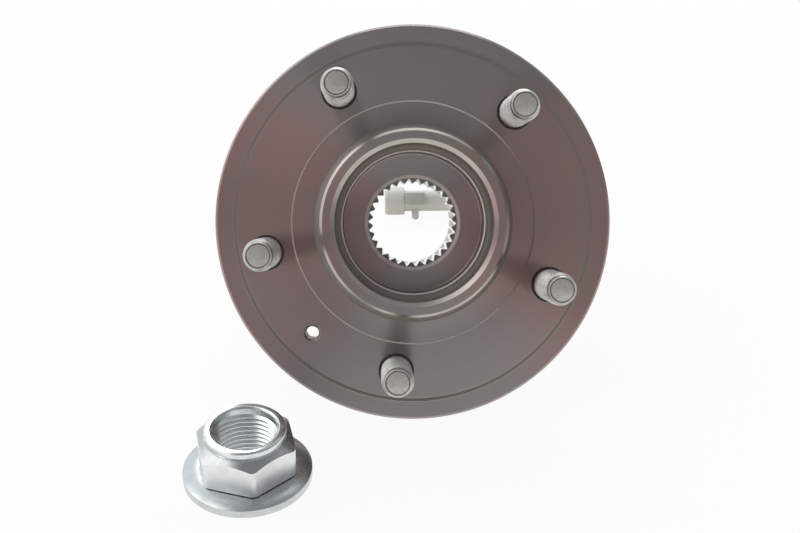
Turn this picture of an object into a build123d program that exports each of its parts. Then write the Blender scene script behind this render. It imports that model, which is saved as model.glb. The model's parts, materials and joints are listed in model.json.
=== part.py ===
from build123d import *
from math import atan2, cos, degrees, pi, radians, sin, tan
import os

os.makedirs("parts", exist_ok=True)

# Wheel hub bearing with its speed sensor, the sensor's lead and the axle nut, in millimetres.
# +X is to the right, +Y away from the front and +Z up. The origin is the centre of the wheel
# face, where the wheel and the brake disc bolt on. The unit lies on a flat surface on the rim
# of its flange and on the knuckle flange's lower edge, so the hub axis is tilted. Heights along
# the hub axis count outboard from the wheel face, so what lies inboard has a negative height.

# ------------------------------------------------------------------ driving dimensions
# Wheel flange
flange_radius = 75.5
flange_thickness = 12.0
flange_root_step = 2.0
flange_root_width = 7.0
flange_root_fillet = 3.0
rim_chamfer = 0.8
disc_seat_outer_radius = 68.0
disc_seat_inner_radius = 46.6
face_relief = 0.5

# Spigot that centres the brake disc and the wheel, and the recess for the nut inside it
disc_pilot_radius = 36.6
disc_pilot_height = 6.0
pilot_step = 1.4
spigot_height = 16.5
spigot_wall = 5.5
spigot_outer_chamfer = 1.0
spigot_inner_chamfer = 1.6
spigot_root_fillet = 1.5
shelf_width = 2.5
shelf_height = 4.0
shelf_fillet = 2.0
nut_seat_depth = 8.0
nut_seat_fillet = 1.5
edge_break = 0.4

# Driveshaft bore: a splined length, then a plain pilot inboard of it
spline_teeth = 30
spline_major_radius = 17.0
spline_tooth_height = 1.5
spline_space_mouth = 2.75
spline_space_root = 0.5
spline_length = 21.0
spline_lead_in = 3.0
spline_phase = 10.1
bore_mouth_chamfer = 1.3
shaft_relief = 0.2
bore_chamfer = 0.9

# Wheel studs and the tapped hole for the disc's retaining screw
stud_count = 5
stud_circle_radius = 57.15
first_stud_angle = 46.9
stud_radius = 5.95
stud_length = 38.5
stud_shank_radius = 6.4
stud_head_radius = 8.5
stud_head_thickness = 3.0
stud_taper_length = 1.0
stud_thread_start = 4.0
stud_thread_pitch = 1.5
stud_thread_depth = 0.8
stud_thread_land = 0.3
dog_point_radius = 5.1
dog_point_length = 5.0
dog_point_chamfer = 1.0
counterbore_margin = 1.0
counterbore_depth = 1.5
disc_screw_minor_radius = 2.5
disc_screw_chamfer = 0.8

# Ball rows
ball_count = 13
ball_radius = 6.35
groove_clearance = 0.2
row_spacing = 24.0
barrel_wall = 3.8
inner_groove_wall = 3.45
outer_groove_wall = 4.45
land_depth = 0.75
inner_shoulder_depth = 5.05
outer_shoulder_depth = 3.95
shoulder_slack = 0.5
cage_inner_drop = 2.8
cage_outer_rise = 1.6
cage_floor = 1.7
cage_grip = 4.5
pocket_clearance = 0.25

# Rings and the parts pressed on them
press_gap = 0.02
ring_corner = 1.0
inner_ring_proud = 1.0
clamp_setback = 1.0
row_to_seal = 7.0
tone_ring_width = 6.0
tone_ring_setback = 1.4
tone_ring_to_ring = 1.5
tone_ring_teeth = 44
tone_slot_depth = 2.5
tone_slot_width = 2.2

# Seals
seal_bore_depth = 5.5
seal_bore_step = 1.05
seal_sheet = 1.0
seal_inset = 0.3
seal_flinger_width = 3.4
seal_disc_width = 5.5
lip_clearance = 0.3
lip_thickness = 0.9

# Outer ring and knuckle flange
outer_ring_gap = 2.0
barrel_step = 1.0
knuckle_pilot_length = 9.0
knuckle_pilot_chamfer = 1.2
knuckle_flange_thickness = 12.0
knuckle_flange_rise = 3.0
knuckle_bolt_circle_radius = 50.0
knuckle_thread_minor_radius = 5.3
ear_count = 4
ear_radius = 9.0
knuckle_foot_reach = 50.684
knuckle_foot_half_width = 26.0
knuckle_foot_corner = 4.0
ear_fillet = 5.0
ear_chamfer = 1.0

# Speed sensor
sensor_pad_rise = 4.0
sensor_nose_radius = 4.5
sensor_nose_clearance = 0.1
sensor_air_gap = 0.8
sensor_lug_radius = 6.5
sensor_lug_thickness = 5.0
sensor_head_height = 9.0
sensor_head_width = 13.0
sensor_head_corner = 2.5
sensor_head_outboard = 6.0
sensor_head_inboard = 8.0
sensor_head_fillet = 1.0
sensor_lead_height = 4.4
sensor_screw_offset = 14.0
sensor_screw_radius = 2.5
sensor_screw_engagement = 8.0
sensor_screw_head_radius = 4.2
sensor_screw_head_height = 3.2
sensor_screw_socket = 2.2
sensor_bush_radius = 3.9
sensor_bush_clearance = 0.3
o_ring_wire_radius = 0.78
o_ring_groove_width = 2.0
o_ring_groove_depth = 1.5
o_ring_depth = 4.0

# Sensor lead and its strain relief
lead_radius = 2.5
relief_radius = 3.8
relief_length = 14.0
relief_taper = 3.5
relief_rib_count = 3
relief_rib_depth = 0.5
relief_rib_width = 1.4

# Connector on the end of the lead
connector_mouth_x = -9.6
connector_y = 133.2
connector_collar_radius = 6.7
connector_collar_length = 9.6
connector_socket_radius = 5.3
connector_socket_depth = 9.0
connector_body_radius = 5.0
connector_body_length = 23.2
connector_edge = 0.6
connector_boot_length = 7.0
connector_boot_radius = 4.3
connector_boot_end_radius = 3.2
connector_boot_plug_radius = 3.8
connector_boot_plug_length = 4.0
pin_length = 3.4
pin_width = 2.0
pin_thickness = 0.8
pin_spacing = 4.4
lock_angle = 50.0
lock_plinth_height = 5.6
lock_height = 7.2
lock_length = 9.2
lock_width = 5.2
lock_margin = 0.6
lock_offset = 0.2
tab_angle = 125.0
tab_reach = 8.1
tab_radius = 1.7
tab_thickness = 1.6
tab_position = 14.8

# Axle nut and its captive washer, standing apart from the hub
nut_x = -62.6
nut_y = -61.8
nut_corner_angle = -78.3
nut_across_flats = 34.0
nut_thread_minor_radius = 10.92
nut_mouth_radius = 12.0
nut_mouth_depth = 2.6
nut_hex_top = 18.6
nut_crown_angle = 30.0
nut_collar_radius = 15.0
nut_collar_height = 22.1
nut_collar_groove = 0.7
nut_collar_groove_width = 0.9
nut_chamfer = 0.5
washer_radius = 23.9
washer_rim_thickness = 3.4
washer_thickness = 4.8
washer_crown_radius = 20.8
washer_clearance = 0.3
nut_skirt_radius = 14.0
nut_skirt_setback = 0.5
nut_flare = 0.9
nut_flare_height = 1.3

# ------------------------------------------------------------------ sizes that follow
spigot_radius = disc_pilot_radius - pilot_step
spigot_bore_radius = spigot_radius - spigot_wall
recess_radius = spigot_bore_radius - shelf_width

spline_minor_radius = spline_major_radius - spline_tooth_height
bore_radius = spline_major_radius + shaft_relief
ring_seat_radius = bore_radius + barrel_wall
inner_groove_bottom = ring_seat_radius + inner_groove_wall
groove_radius = ball_radius + groove_clearance
pitch_radius = inner_groove_bottom + groove_radius
outer_groove_bottom = pitch_radius + groove_radius
land_radius = inner_groove_bottom + land_depth
shoulder_radius = inner_groove_bottom + inner_shoulder_depth
middle_radius = outer_groove_bottom - outer_shoulder_depth
pilot_radius = outer_groove_bottom + outer_groove_wall
barrel_radius = pilot_radius + barrel_step
seal_bore_radius = outer_groove_bottom + seal_bore_step
tone_ring_radius = middle_radius - tone_ring_setback
flange_root_radius = shoulder_radius + flange_root_width

flange_back = -flange_thickness
root_back = flange_back - flange_root_step
ring_outboard_end = root_back - outer_ring_gap
outboard_row = ring_outboard_end - seal_bore_depth - row_to_seal
inboard_row = outboard_row - row_spacing
middle = (outboard_row + inboard_row) / 2
ring_inboard_end = inboard_row - row_to_seal - seal_bore_depth
inner_ring_front = middle - tone_ring_width / 2 - tone_ring_to_ring
inner_ring_end = ring_inboard_end - inner_ring_proud
barrel_end = inner_ring_end + clamp_setback
knuckle_face = ring_inboard_end + knuckle_pilot_length
knuckle_flange_front = knuckle_face + knuckle_flange_thickness
nut_seat = -nut_seat_depth
spline_front = nut_seat - spline_lead_in
spline_back = spline_front - spline_length

# The rim's inboard edge and the knuckle flange's lower edge touch the surface the unit lies on.
rim_edge = flange_back + rim_chamfer
foot_edge = knuckle_face + ear_chamfer
tilt = atan2(flange_radius - knuckle_foot_reach, rim_edge - foot_edge)
floor = rim_edge * sin(tilt) - flange_radius * cos(tilt)

hub_plane = Plane(origin=(0, 0, 0), x_dir=(1, 0, 0), z_dir=(0, -cos(tilt), sin(tilt)))
hub_section = Plane(origin=(0, 0, 0), x_dir=(1, 0, 0), z_dir=(0, -sin(tilt), -cos(tilt)))
hub_axis = Axis((0, 0, 0), (0, -cos(tilt), sin(tilt)))


def across(height):
    """The plane across the hub axis at a height outboard of the wheel face."""
    return hub_plane.offset(height)


def profile(plane, *corners):
    """A closed outline on a plane from (x, y) corners, or (x, y, fillet radius) for round ones."""
    with BuildSketch(plane) as outline:
        with BuildLine():
            FilletPolyline(
                [corner[:2] for corner in corners],
                radius=[corner[2] if len(corner) > 2 else 0 for corner in corners],
                close=True,
            )
        make_face()
    return outline.sketch


def ring(plane, inner, outer, low, high):
    """The rectangular section of a plain ring, between two radii and two heights."""
    return profile(plane, (inner, low), (outer, low), (outer, high), (inner, high))


def thread_grooves(crest, root, low, high):
    """Corners of the plain rings that stand for a thread's grooves, from one height up."""
    corners = []
    for turn in range(int((high - low) / stud_thread_pitch)):
        start = low + turn * stud_thread_pitch
        corners += [
            (crest, start),
            (root, start + (stud_thread_pitch - stud_thread_land) / 2),
            (crest, start + stud_thread_pitch - stud_thread_land),
        ]
    return corners


def ball_groove(row):
    """The round section of the groove that a row of balls runs in."""
    with BuildSketch(hub_section) as groove:
        with Locations((pitch_radius, row)):
            Circle(groove_radius)
    return groove.sketch


# ------------------------------------------------------------------ rotating hub
flange_face = -face_relief
recess_corner = (recess_radius, nut_seat, nut_seat_fillet)
with BuildPart() as wheel_hub:
    hub_outline = profile(
        hub_section,
        # nut recess and spigot, from the bore outwards
        (bore_radius + bore_mouth_chamfer, nut_seat),
        recess_corner,
        (recess_radius, shelf_height - edge_break),
        (recess_radius + edge_break, shelf_height),
        (spigot_bore_radius, shelf_height, shelf_fillet),
        (spigot_bore_radius, spigot_height - spigot_inner_chamfer),
        (spigot_bore_radius + spigot_inner_chamfer, spigot_height),
        (spigot_radius - spigot_outer_chamfer, spigot_height),
        (spigot_radius, spigot_height - spigot_outer_chamfer),
        (spigot_radius, disc_pilot_height + pilot_step),
        (disc_pilot_radius, disc_pilot_height),
        (disc_pilot_radius, flange_face, spigot_root_fillet),
        # wheel face, with the brake disc's seat standing proud of it
        (disc_seat_inner_radius - face_relief, flange_face),
        (disc_seat_inner_radius, 0),
        (disc_seat_outer_radius, 0),
        (disc_seat_outer_radius + face_relief, flange_face),
        (flange_radius - rim_chamfer, flange_face),
        (flange_radius, flange_face - rim_chamfer),
        (flange_radius, rim_edge),
        (flange_radius - rim_chamfer, flange_back),
        # back of the flange and the barrel with the outboard groove's shoulder
        (flange_root_radius + flange_root_step, flange_back),
        (flange_root_radius, root_back),
        (shoulder_radius, root_back, flange_root_fillet),
        (shoulder_radius, outboard_row),
        (land_radius, outboard_row),
        (land_radius, inner_ring_front),
        (ring_seat_radius, inner_ring_front),
        (ring_seat_radius, barrel_end + ring_corner),
        (ring_seat_radius - ring_corner, barrel_end),
        # driveshaft bore, from its inboard mouth outwards
        (bore_radius + bore_chamfer, barrel_end),
        (bore_radius, barrel_end + bore_chamfer),
        (bore_radius, spline_back),
        (spline_minor_radius, spline_back + bore_chamfer),
        (spline_minor_radius, spline_front - bore_chamfer),
        (bore_radius, spline_front),
        (bore_radius, nut_seat - bore_mouth_chamfer),
    )
    revolve(hub_outline, axis=hub_axis)
    revolve(ball_groove(outboard_row), axis=hub_axis, mode=Mode.SUBTRACT)
    # spaces between the spline's teeth
    with BuildSketch(across(spline_back - shaft_relief)):
        with PolarLocations(0, spline_teeth, start_angle=spline_phase):
            Polygon(
                (spline_minor_radius - shaft_relief, -spline_space_mouth / 2),
                (spline_major_radius, -spline_space_root / 2),
                (spline_major_radius, spline_space_root / 2),
                (spline_minor_radius - shaft_relief, spline_space_mouth / 2),
                align=None,
            )
    extrude(amount=spline_length + 2 * shaft_relief, mode=Mode.SUBTRACT)
    # stud holes, each with a shallow counterbore in the wheel face
    with BuildSketch(across(root_back)):
        with PolarLocations(stud_circle_radius, stud_count, start_angle=first_stud_angle):
            Circle(stud_shank_radius)
    extrude(amount=-root_back, mode=Mode.SUBTRACT)
    with BuildSketch(across(-counterbore_depth)):
        with PolarLocations(stud_circle_radius, stud_count, start_angle=first_stud_angle):
            Circle(stud_shank_radius + counterbore_margin)
    extrude(amount=counterbore_depth, mode=Mode.SUBTRACT)
    # tapped hole for the disc's retaining screw, midway between two studs
    disc_screw_angle = first_stud_angle + 2.5 * 360 / stud_count
    disc_screw_spot = hub_plane.from_local_coords(
        (
            stud_circle_radius * cos(radians(disc_screw_angle)),
            stud_circle_radius * sin(radians(disc_screw_angle)),
            0,
        )
    )
    disc_screw_section = Plane(
        origin=disc_screw_spot, x_dir=hub_section.x_dir, z_dir=hub_section.z_dir
    )
    disc_screw_hole = profile(
        disc_screw_section,
        (0, 0),
        (disc_screw_minor_radius + disc_screw_chamfer, 0),
        (disc_screw_minor_radius, -disc_screw_chamfer),
        (disc_screw_minor_radius, flange_back + disc_screw_chamfer),
        (disc_screw_minor_radius + disc_screw_chamfer, flange_back),
        (0, flange_back),
    )
    revolve(
        disc_screw_hole,
        axis=Axis(disc_screw_spot, hub_axis.direction),
        mode=Mode.SUBTRACT,
    )
wheel_hub.part.label = "wheel_hub"
export_step(wheel_hub.part, "parts/wheel_hub.step")

for number in range(1, stud_count + 1):
    stud_angle = radians(first_stud_angle + (number - 1) * 360 / stud_count)
    stud_spot = hub_plane.from_local_coords(
        (stud_circle_radius * cos(stud_angle), stud_circle_radius * sin(stud_angle), 0)
    )
    stud_section = Plane(origin=stud_spot, x_dir=hub_section.x_dir, z_dir=hub_section.z_dir)
    dog_point_base = stud_length - dog_point_length
    with BuildPart() as wheel_stud:
        stud_outline = profile(
            stud_section,
            (0, flange_back - stud_head_thickness),
            (stud_head_radius - edge_break, flange_back - stud_head_thickness),
            (stud_head_radius, flange_back - stud_head_thickness + edge_break),
            (stud_head_radius, flange_back),
            (stud_shank_radius - press_gap, flange_back),
            (stud_shank_radius - press_gap, -counterbore_depth),
            (stud_radius, edge_break - counterbore_depth),
            *thread_grooves(
                stud_radius,
                stud_radius - stud_thread_depth,
                stud_thread_start,
                dog_point_base - stud_taper_length,
            ),
            (stud_radius, dog_point_base - stud_taper_length),
            (dog_point_radius, dog_point_base),
            (dog_point_radius, stud_length - dog_point_chamfer),
            (dog_point_radius - dog_point_chamfer, stud_length),
            (0, stud_length),
        )
        revolve(stud_outline, axis=Axis(stud_spot, hub_axis.direction))
    wheel_stud.part.label = f"wheel_stud_{number}"
    export_step(wheel_stud.part, f"parts/wheel_stud_{number}.step")

with BuildPart() as inner_ring:
    seat = ring_seat_radius + press_gap
    ring_outline = profile(
        hub_section,
        (seat + ring_corner, inner_ring_end),
        (shoulder_radius - ring_corner, inner_ring_end),
        (shoulder_radius, inner_ring_end + ring_corner),
        (shoulder_radius, inboard_row),
        (land_radius, inboard_row),
        (land_radius, inner_ring_front),
        (seat + ring_corner, inner_ring_front),
        (seat, inner_ring_front - ring_corner),
        (seat, inner_ring_end + ring_corner),
    )
    revolve(ring_outline, axis=hub_axis)
    revolve(ball_groove(inboard_row), axis=hub_axis, mode=Mode.SUBTRACT)
inner_ring.part.label = "inner_ring"
export_step(inner_ring.part, "parts/inner_ring.step")

# Toothed ring that the speed sensor reads, on the barrel midway between the rows
with BuildPart() as tone_ring:
    with BuildSketch(across(middle - tone_ring_width / 2)):
        Circle(tone_ring_radius)
        Circle(land_radius + press_gap, mode=Mode.SUBTRACT)
        with PolarLocations(tone_ring_radius, tone_ring_teeth):
            Rectangle(2 * tone_slot_depth, tone_slot_width, mode=Mode.SUBTRACT)
    extrude(amount=tone_ring_width)
tone_ring.part.label = "tone_ring"
export_step(tone_ring.part, "parts/tone_ring.step")

# ------------------------------------------------------------------ balls and cages
for row_name, row, outward in (("outboard", outboard_row, 1), ("inboard", inboard_row, -1)):
    with BuildPart(across(row)) as balls:
        with PolarLocations(pitch_radius, ball_count):
            Sphere(ball_radius)
    balls.part.label = f"{row_name}_balls"
    export_step(balls.part, f"parts/{row_name}_balls.step")

    pocket_radius = ball_radius + pocket_clearance
    cage_foot = row - outward * (pocket_radius + cage_floor)
    cage_tip = row + outward * cage_grip
    with BuildPart() as cage:
        cage_section = ring(
            hub_section,
            pitch_radius - cage_inner_drop,
            pitch_radius + cage_outer_rise,
            min(cage_foot, cage_tip),
            max(cage_foot, cage_tip),
        )
        revolve(cage_section, axis=hub_axis)
        with Locations(across(row).location):
            with PolarLocations(pitch_radius, ball_count):
                Sphere(pocket_radius, mode=Mode.SUBTRACT)
    cage.part.label = f"{row_name}_cage"
    export_step(cage.part, f"parts/{row_name}_cage.step")

# ------------------------------------------------------------------ outer ring
knuckle_core_radius = barrel_radius + knuckle_flange_rise
sensor_pad = barrel_radius + sensor_pad_rise
sensor_hole_radius = sensor_nose_radius + sensor_nose_clearance


def sensor_plane(height):
    """The plane across the sensor's axis, at a distance from the hub axis. Its x is outboard."""
    return Plane(
        origin=hub_plane.from_local_coords((-height, 0, middle)),
        x_dir=hub_axis.direction,
        z_dir=(-1, 0, 0),
    )


def sensor_foot():
    """The outline that the sensor's lug and the pad under it share."""
    with BuildSketch() as foot:
        with Locations((0, sensor_screw_offset / 2)):
            SlotCenterToCenter(sensor_screw_offset, 2 * sensor_lug_radius, rotation=90)
    return foot.sketch


def knuckle_foot():
    """Half of the knuckle flange's outline: two ears and the straight foot between them."""
    ear = knuckle_bolt_circle_radius * cos(radians(45))
    corner_x = knuckle_foot_half_width - knuckle_foot_corner
    corner_y = knuckle_foot_reach - knuckle_foot_corner
    with BuildSketch() as foot:
        with Locations((ear, -ear), (-ear, -ear)):
            Circle(ear_radius)
        with Locations((corner_x, -corner_y), (-corner_x, -corner_y)):
            Circle(knuckle_foot_corner)
        make_hull()
    return foot.sketch


with BuildPart() as outer_ring:
    ring_body = profile(
        hub_section,
        (0, ring_inboard_end),
        (pilot_radius - knuckle_pilot_chamfer, ring_inboard_end),
        (pilot_radius, ring_inboard_end + knuckle_pilot_chamfer),
        (pilot_radius, knuckle_flange_front),
        (barrel_radius, knuckle_flange_front),
        (barrel_radius, ring_outboard_end - edge_break),
        (barrel_radius - edge_break, ring_outboard_end),
        (0, ring_outboard_end),
    )
    revolve(ring_body, axis=hub_axis)
    # knuckle flange: a round core with four rounded ears, straight above and below
    with BuildSketch(across(knuckle_face)) as knuckle_outline:
        Circle(knuckle_core_radius)
        add(knuckle_foot())
        add(knuckle_foot(), rotation=180)
        fillet(knuckle_outline.vertices().group_by(SortBy.DISTANCE)[0], radius=ear_fillet)
    extrude(amount=knuckle_flange_thickness)
    mounting_face = (
        outer_ring.faces().filter_by(GeomType.PLANE).filter_by(hub_axis).sort_by(hub_axis)
    )
    mounting_face = [
        face
        for face in mounting_face
        if abs(hub_plane.to_local_coords(face.center()).Z - knuckle_face) < ear_chamfer / 2
    ]
    chamfer(mounting_face[0].outer_wire().edges(), length=ear_chamfer)
    # pad for the speed sensor
    with BuildSketch(sensor_plane(sensor_pad)):
        add(sensor_foot())
    extrude(amount=sensor_pad - pitch_radius, dir=(1, 0, 0))
    # inside: seal bores, grooves and the land between them
    ring_inside = profile(
        hub_section,
        (0, ring_inboard_end),
        (seal_bore_radius, ring_inboard_end),
        (seal_bore_radius, inboard_row - row_to_seal),
        (outer_groove_bottom, inboard_row - row_to_seal),
        (outer_groove_bottom, inboard_row),
        (middle_radius, inboard_row),
        (middle_radius, outboard_row),
        (outer_groove_bottom, outboard_row),
        (outer_groove_bottom, outboard_row + row_to_seal),
        (seal_bore_radius, outboard_row + row_to_seal),
        (seal_bore_radius, ring_outboard_end),
        (0, ring_outboard_end),
    )
    revolve(ring_inside, axis=hub_axis, mode=Mode.SUBTRACT)
    revolve(ball_groove(outboard_row), axis=hub_axis, mode=Mode.SUBTRACT)
    revolve(ball_groove(inboard_row), axis=hub_axis, mode=Mode.SUBTRACT)
    # tapped holes for the knuckle bolts
    with BuildSketch(across(knuckle_face)):
        with PolarLocations(knuckle_bolt_circle_radius, ear_count, start_angle=45):
            Circle(knuckle_thread_minor_radius)
    extrude(amount=knuckle_flange_thickness, mode=Mode.SUBTRACT)
    # hole for the sensor's nose and a blind one for its screw
    with BuildSketch(sensor_plane(sensor_pad)):
        Circle(sensor_hole_radius)
    extrude(amount=sensor_pad - pitch_radius, dir=(1, 0, 0), mode=Mode.SUBTRACT)
    with BuildSketch(sensor_plane(sensor_pad)):
        with Locations((0, sensor_screw_offset)):
            Circle(sensor_screw_radius + press_gap)
    extrude(amount=sensor_screw_engagement + edge_break, dir=(1, 0, 0), mode=Mode.SUBTRACT)
outer_ring.part.label = "outer_ring"
export_step(outer_ring.part, "parts/outer_ring.step")

# ------------------------------------------------------------------ seals
# A pressed case holds each rubber seal in the outer ring. The outboard lips run on the hub's
# barrel and on the back of its flange, and the inboard lips on a slinger on the inner ring.
case_outer = seal_bore_radius - press_gap
case_inner = case_outer - seal_sheet
case_mouth = case_inner - seal_disc_width
outboard_floor = outboard_row + row_to_seal + seal_inset
inboard_floor = inboard_row - row_to_seal - seal_inset
slinger_radius = shoulder_radius + press_gap + seal_sheet
slinger_face = ring_inboard_end + seal_sheet

with BuildPart() as outboard_seal_case:
    case_outline = profile(
        hub_section,
        (case_mouth, outboard_floor),
        (case_outer, outboard_floor),
        (case_outer, ring_outboard_end),
        (seal_bore_radius + seal_flinger_width, ring_outboard_end),
        (seal_bore_radius + seal_flinger_width, ring_outboard_end + seal_sheet),
        (case_inner, ring_outboard_end + seal_sheet),
        (case_inner, outboard_floor + seal_sheet),
        (case_mouth, outboard_floor + seal_sheet),
    )
    revolve(case_outline, axis=hub_axis)
outboard_seal_case.part.label = "outboard_seal_case"
export_step(outboard_seal_case.part, "parts/outboard_seal_case.step")

with BuildPart() as inboard_seal_case:
    case_outline = profile(
        hub_section,
        (case_mouth, inboard_floor),
        (case_outer, inboard_floor),
        (case_outer, ring_inboard_end),
        (case_inner, ring_inboard_end),
        (case_inner, inboard_floor - seal_sheet),
        (case_mouth, inboard_floor - seal_sheet),
    )
    revolve(case_outline, axis=hub_axis)
inboard_seal_case.part.label = "inboard_seal_case"
export_step(inboard_seal_case.part, "parts/inboard_seal_case.step")

with BuildPart() as inboard_slinger:
    slinger_outline = profile(
        hub_section,
        (shoulder_radius + press_gap, ring_inboard_end),
        (case_inner - lip_clearance, ring_inboard_end),
        (case_inner - lip_clearance, slinger_face),
        (slinger_radius, slinger_face),
        (slinger_radius, inboard_floor),
        (shoulder_radius + press_gap, inboard_floor),
    )
    revolve(slinger_outline, axis=hub_axis)
inboard_slinger.part.label = "inboard_slinger"
export_step(inboard_slinger.part, "parts/inboard_slinger.step")


def lip_outline(running_radius, foot, reach, outward):
    """A rubber seal on the face of its case: two lips towards the shaft and one along it."""
    tip_radius = running_radius + lip_clearance
    lip = outward * lip_thickness
    tip = foot + outward * reach
    waist = (tip_radius + case_mouth) / 2
    return profile(
        hub_section,
        (case_inner - lip_thickness, foot),
        (case_inner - lip_thickness, foot + lip),
        (case_mouth + 2 * lip_thickness, foot + lip),
        (case_mouth + 3 * lip_thickness, tip),
        (case_mouth + 2 * lip_thickness, tip),
        (case_mouth, foot + 1.5 * lip),
        (tip_radius, foot + 2.5 * lip),
        (tip_radius, foot + 1.5 * lip),
        (waist, foot + 0.5 * lip),
        (tip_radius, foot - 0.5 * lip),
        (tip_radius, foot - 1.2 * lip),
        (case_mouth, foot - outward * seal_sheet),
        (case_mouth, foot),
    )


outboard_foot = outboard_floor + seal_sheet
inboard_foot = inboard_floor - seal_sheet
with BuildPart() as outboard_seal_lip:
    reach = root_back - outboard_foot - lip_clearance
    revolve(lip_outline(shoulder_radius, outboard_foot, reach, 1), axis=hub_axis)
outboard_seal_lip.part.label = "outboard_seal_lip"
export_step(outboard_seal_lip.part, "parts/outboard_seal_lip.step")

with BuildPart() as inboard_seal_lip:
    reach = inboard_foot - slinger_face - lip_clearance
    revolve(lip_outline(slinger_radius, inboard_foot, reach, -1), axis=hub_axis)
inboard_seal_lip.part.label = "inboard_seal_lip"
export_step(inboard_seal_lip.part, "parts/inboard_seal_lip.step")

# ------------------------------------------------------------------ speed sensor
sensor_tip = tone_ring_radius + sensor_air_gap
sensor_lug_top = sensor_pad + sensor_lug_thickness
o_ring_height = sensor_pad - o_ring_depth
with BuildPart() as sensor_body:
    with BuildSketch(sensor_plane(sensor_pad)):
        add(sensor_foot())
        with Locations((0, sensor_screw_offset)):
            Circle(sensor_bush_radius + press_gap, mode=Mode.SUBTRACT)
    extrude(amount=sensor_lug_thickness)
    with BuildSketch(sensor_plane(sensor_lug_top)):
        with Locations(((sensor_head_outboard - sensor_head_inboard) / 2, 0)):
            RectangleRounded(
                sensor_head_outboard + sensor_head_inboard, sensor_head_width, sensor_head_corner
            )
    extrude(amount=sensor_head_height)
    head_top = sensor_body.faces().sort_by(Axis.X)[0]
    fillet(head_top.edges(), radius=sensor_head_fillet)
    with BuildSketch(sensor_plane(sensor_tip)):
        Circle(sensor_nose_radius)
    extrude(amount=sensor_pad - sensor_tip)
    with BuildSketch(sensor_plane(o_ring_height - o_ring_groove_width / 2)):
        Circle(sensor_hole_radius)
        Circle(sensor_nose_radius - o_ring_groove_depth, mode=Mode.SUBTRACT)
    extrude(amount=o_ring_groove_width, mode=Mode.SUBTRACT)
sensor_body.part.label = "sensor_body"
export_step(sensor_body.part, "parts/sensor_body.step")

with BuildPart() as sensor_o_ring:
    o_ring_section = Plane(
        origin=hub_plane.from_local_coords((-o_ring_height, 0, middle)),
        x_dir=hub_axis.direction,
        z_dir=hub_section.z_dir,
    )
    with BuildSketch(o_ring_section):
        with Locations((sensor_nose_radius - o_ring_groove_depth + o_ring_wire_radius + press_gap, 0)):
            Circle(o_ring_wire_radius)
    revolve(axis=Axis(o_ring_section.origin, (-1, 0, 0)))
sensor_o_ring.part.label = "sensor_o_ring"
export_step(sensor_o_ring.part, "parts/sensor_o_ring.step")

with BuildPart() as sensor_bush:
    with BuildSketch(sensor_plane(sensor_pad)):
        with Locations((0, sensor_screw_offset)):
            Circle(sensor_bush_radius)
            Circle(sensor_screw_radius + sensor_bush_clearance, mode=Mode.SUBTRACT)
    extrude(amount=sensor_lug_thickness)
sensor_bush.part.label = "sensor_bush"
export_step(sensor_bush.part, "parts/sensor_bush.step")

with BuildPart() as sensor_screw:
    with BuildSketch(sensor_plane(sensor_pad - sensor_screw_engagement)):
        with Locations((0, sensor_screw_offset)):
            Circle(sensor_screw_radius)
    extrude(amount=sensor_screw_engagement + sensor_lug_thickness)
    with BuildSketch(sensor_plane(sensor_lug_top)):
        with Locations((0, sensor_screw_offset)):
            Circle(sensor_screw_head_radius)
    extrude(amount=sensor_screw_head_height)
    head_top = sensor_screw.faces().sort_by(Axis.X)[0]
    fillet(head_top.edges(), radius=edge_break)
    with BuildSketch(sensor_plane(sensor_lug_top + sensor_screw_head_height)):
        with Locations((0, sensor_screw_offset)):
            RegularPolygon(sensor_screw_socket, 6)
    extrude(amount=sensor_screw_socket, dir=(1, 0, 0), mode=Mode.SUBTRACT)
sensor_screw.part.label = "sensor_screw"
export_step(sensor_screw.part, "parts/sensor_screw.step")

lead_exit_x = -(sensor_lug_top + sensor_lead_height)


def lead_exit_plane(distance):
    """The plane across the strain relief's axis, at a distance inboard of the sensor's head."""
    return Plane(
        origin=hub_plane.from_local_coords(
            (lead_exit_x, 0, middle - sensor_head_inboard - distance)
        ),
        x_dir=(1, 0, 0),
        z_dir=hub_axis.direction.reverse(),
    )


with BuildPart() as sensor_strain_relief:
    with BuildSketch(lead_exit_plane(0)):
        Circle(relief_radius)
    extrude(amount=relief_length, taper=relief_taper)
    rib_pitch = relief_length / (relief_rib_count + 1)
    for rib in range(1, relief_rib_count + 1):
        rib_radius = relief_radius - rib * rib_pitch * tan(radians(relief_taper))
        with BuildSketch(lead_exit_plane(rib * rib_pitch - relief_rib_width / 2)):
            Circle(relief_radius + relief_rib_depth)
            Circle(rib_radius - relief_rib_depth, mode=Mode.SUBTRACT)
        extrude(amount=relief_rib_width, mode=Mode.SUBTRACT)
sensor_strain_relief.part.label = "sensor_strain_relief"
export_step(sensor_strain_relief.part, "parts/sensor_strain_relief.step")

# ------------------------------------------------------------------ connector
connector_axis_z = floor + connector_collar_radius


def connector_plane(distance):
    """The plane across the connector, at a distance behind its mouth. Its x is up, its y forward."""
    return Plane(
        origin=(connector_mouth_x + distance, connector_y, connector_axis_z),
        x_dir=(0, 0, 1),
        z_dir=(1, 0, 0),
    )


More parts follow.
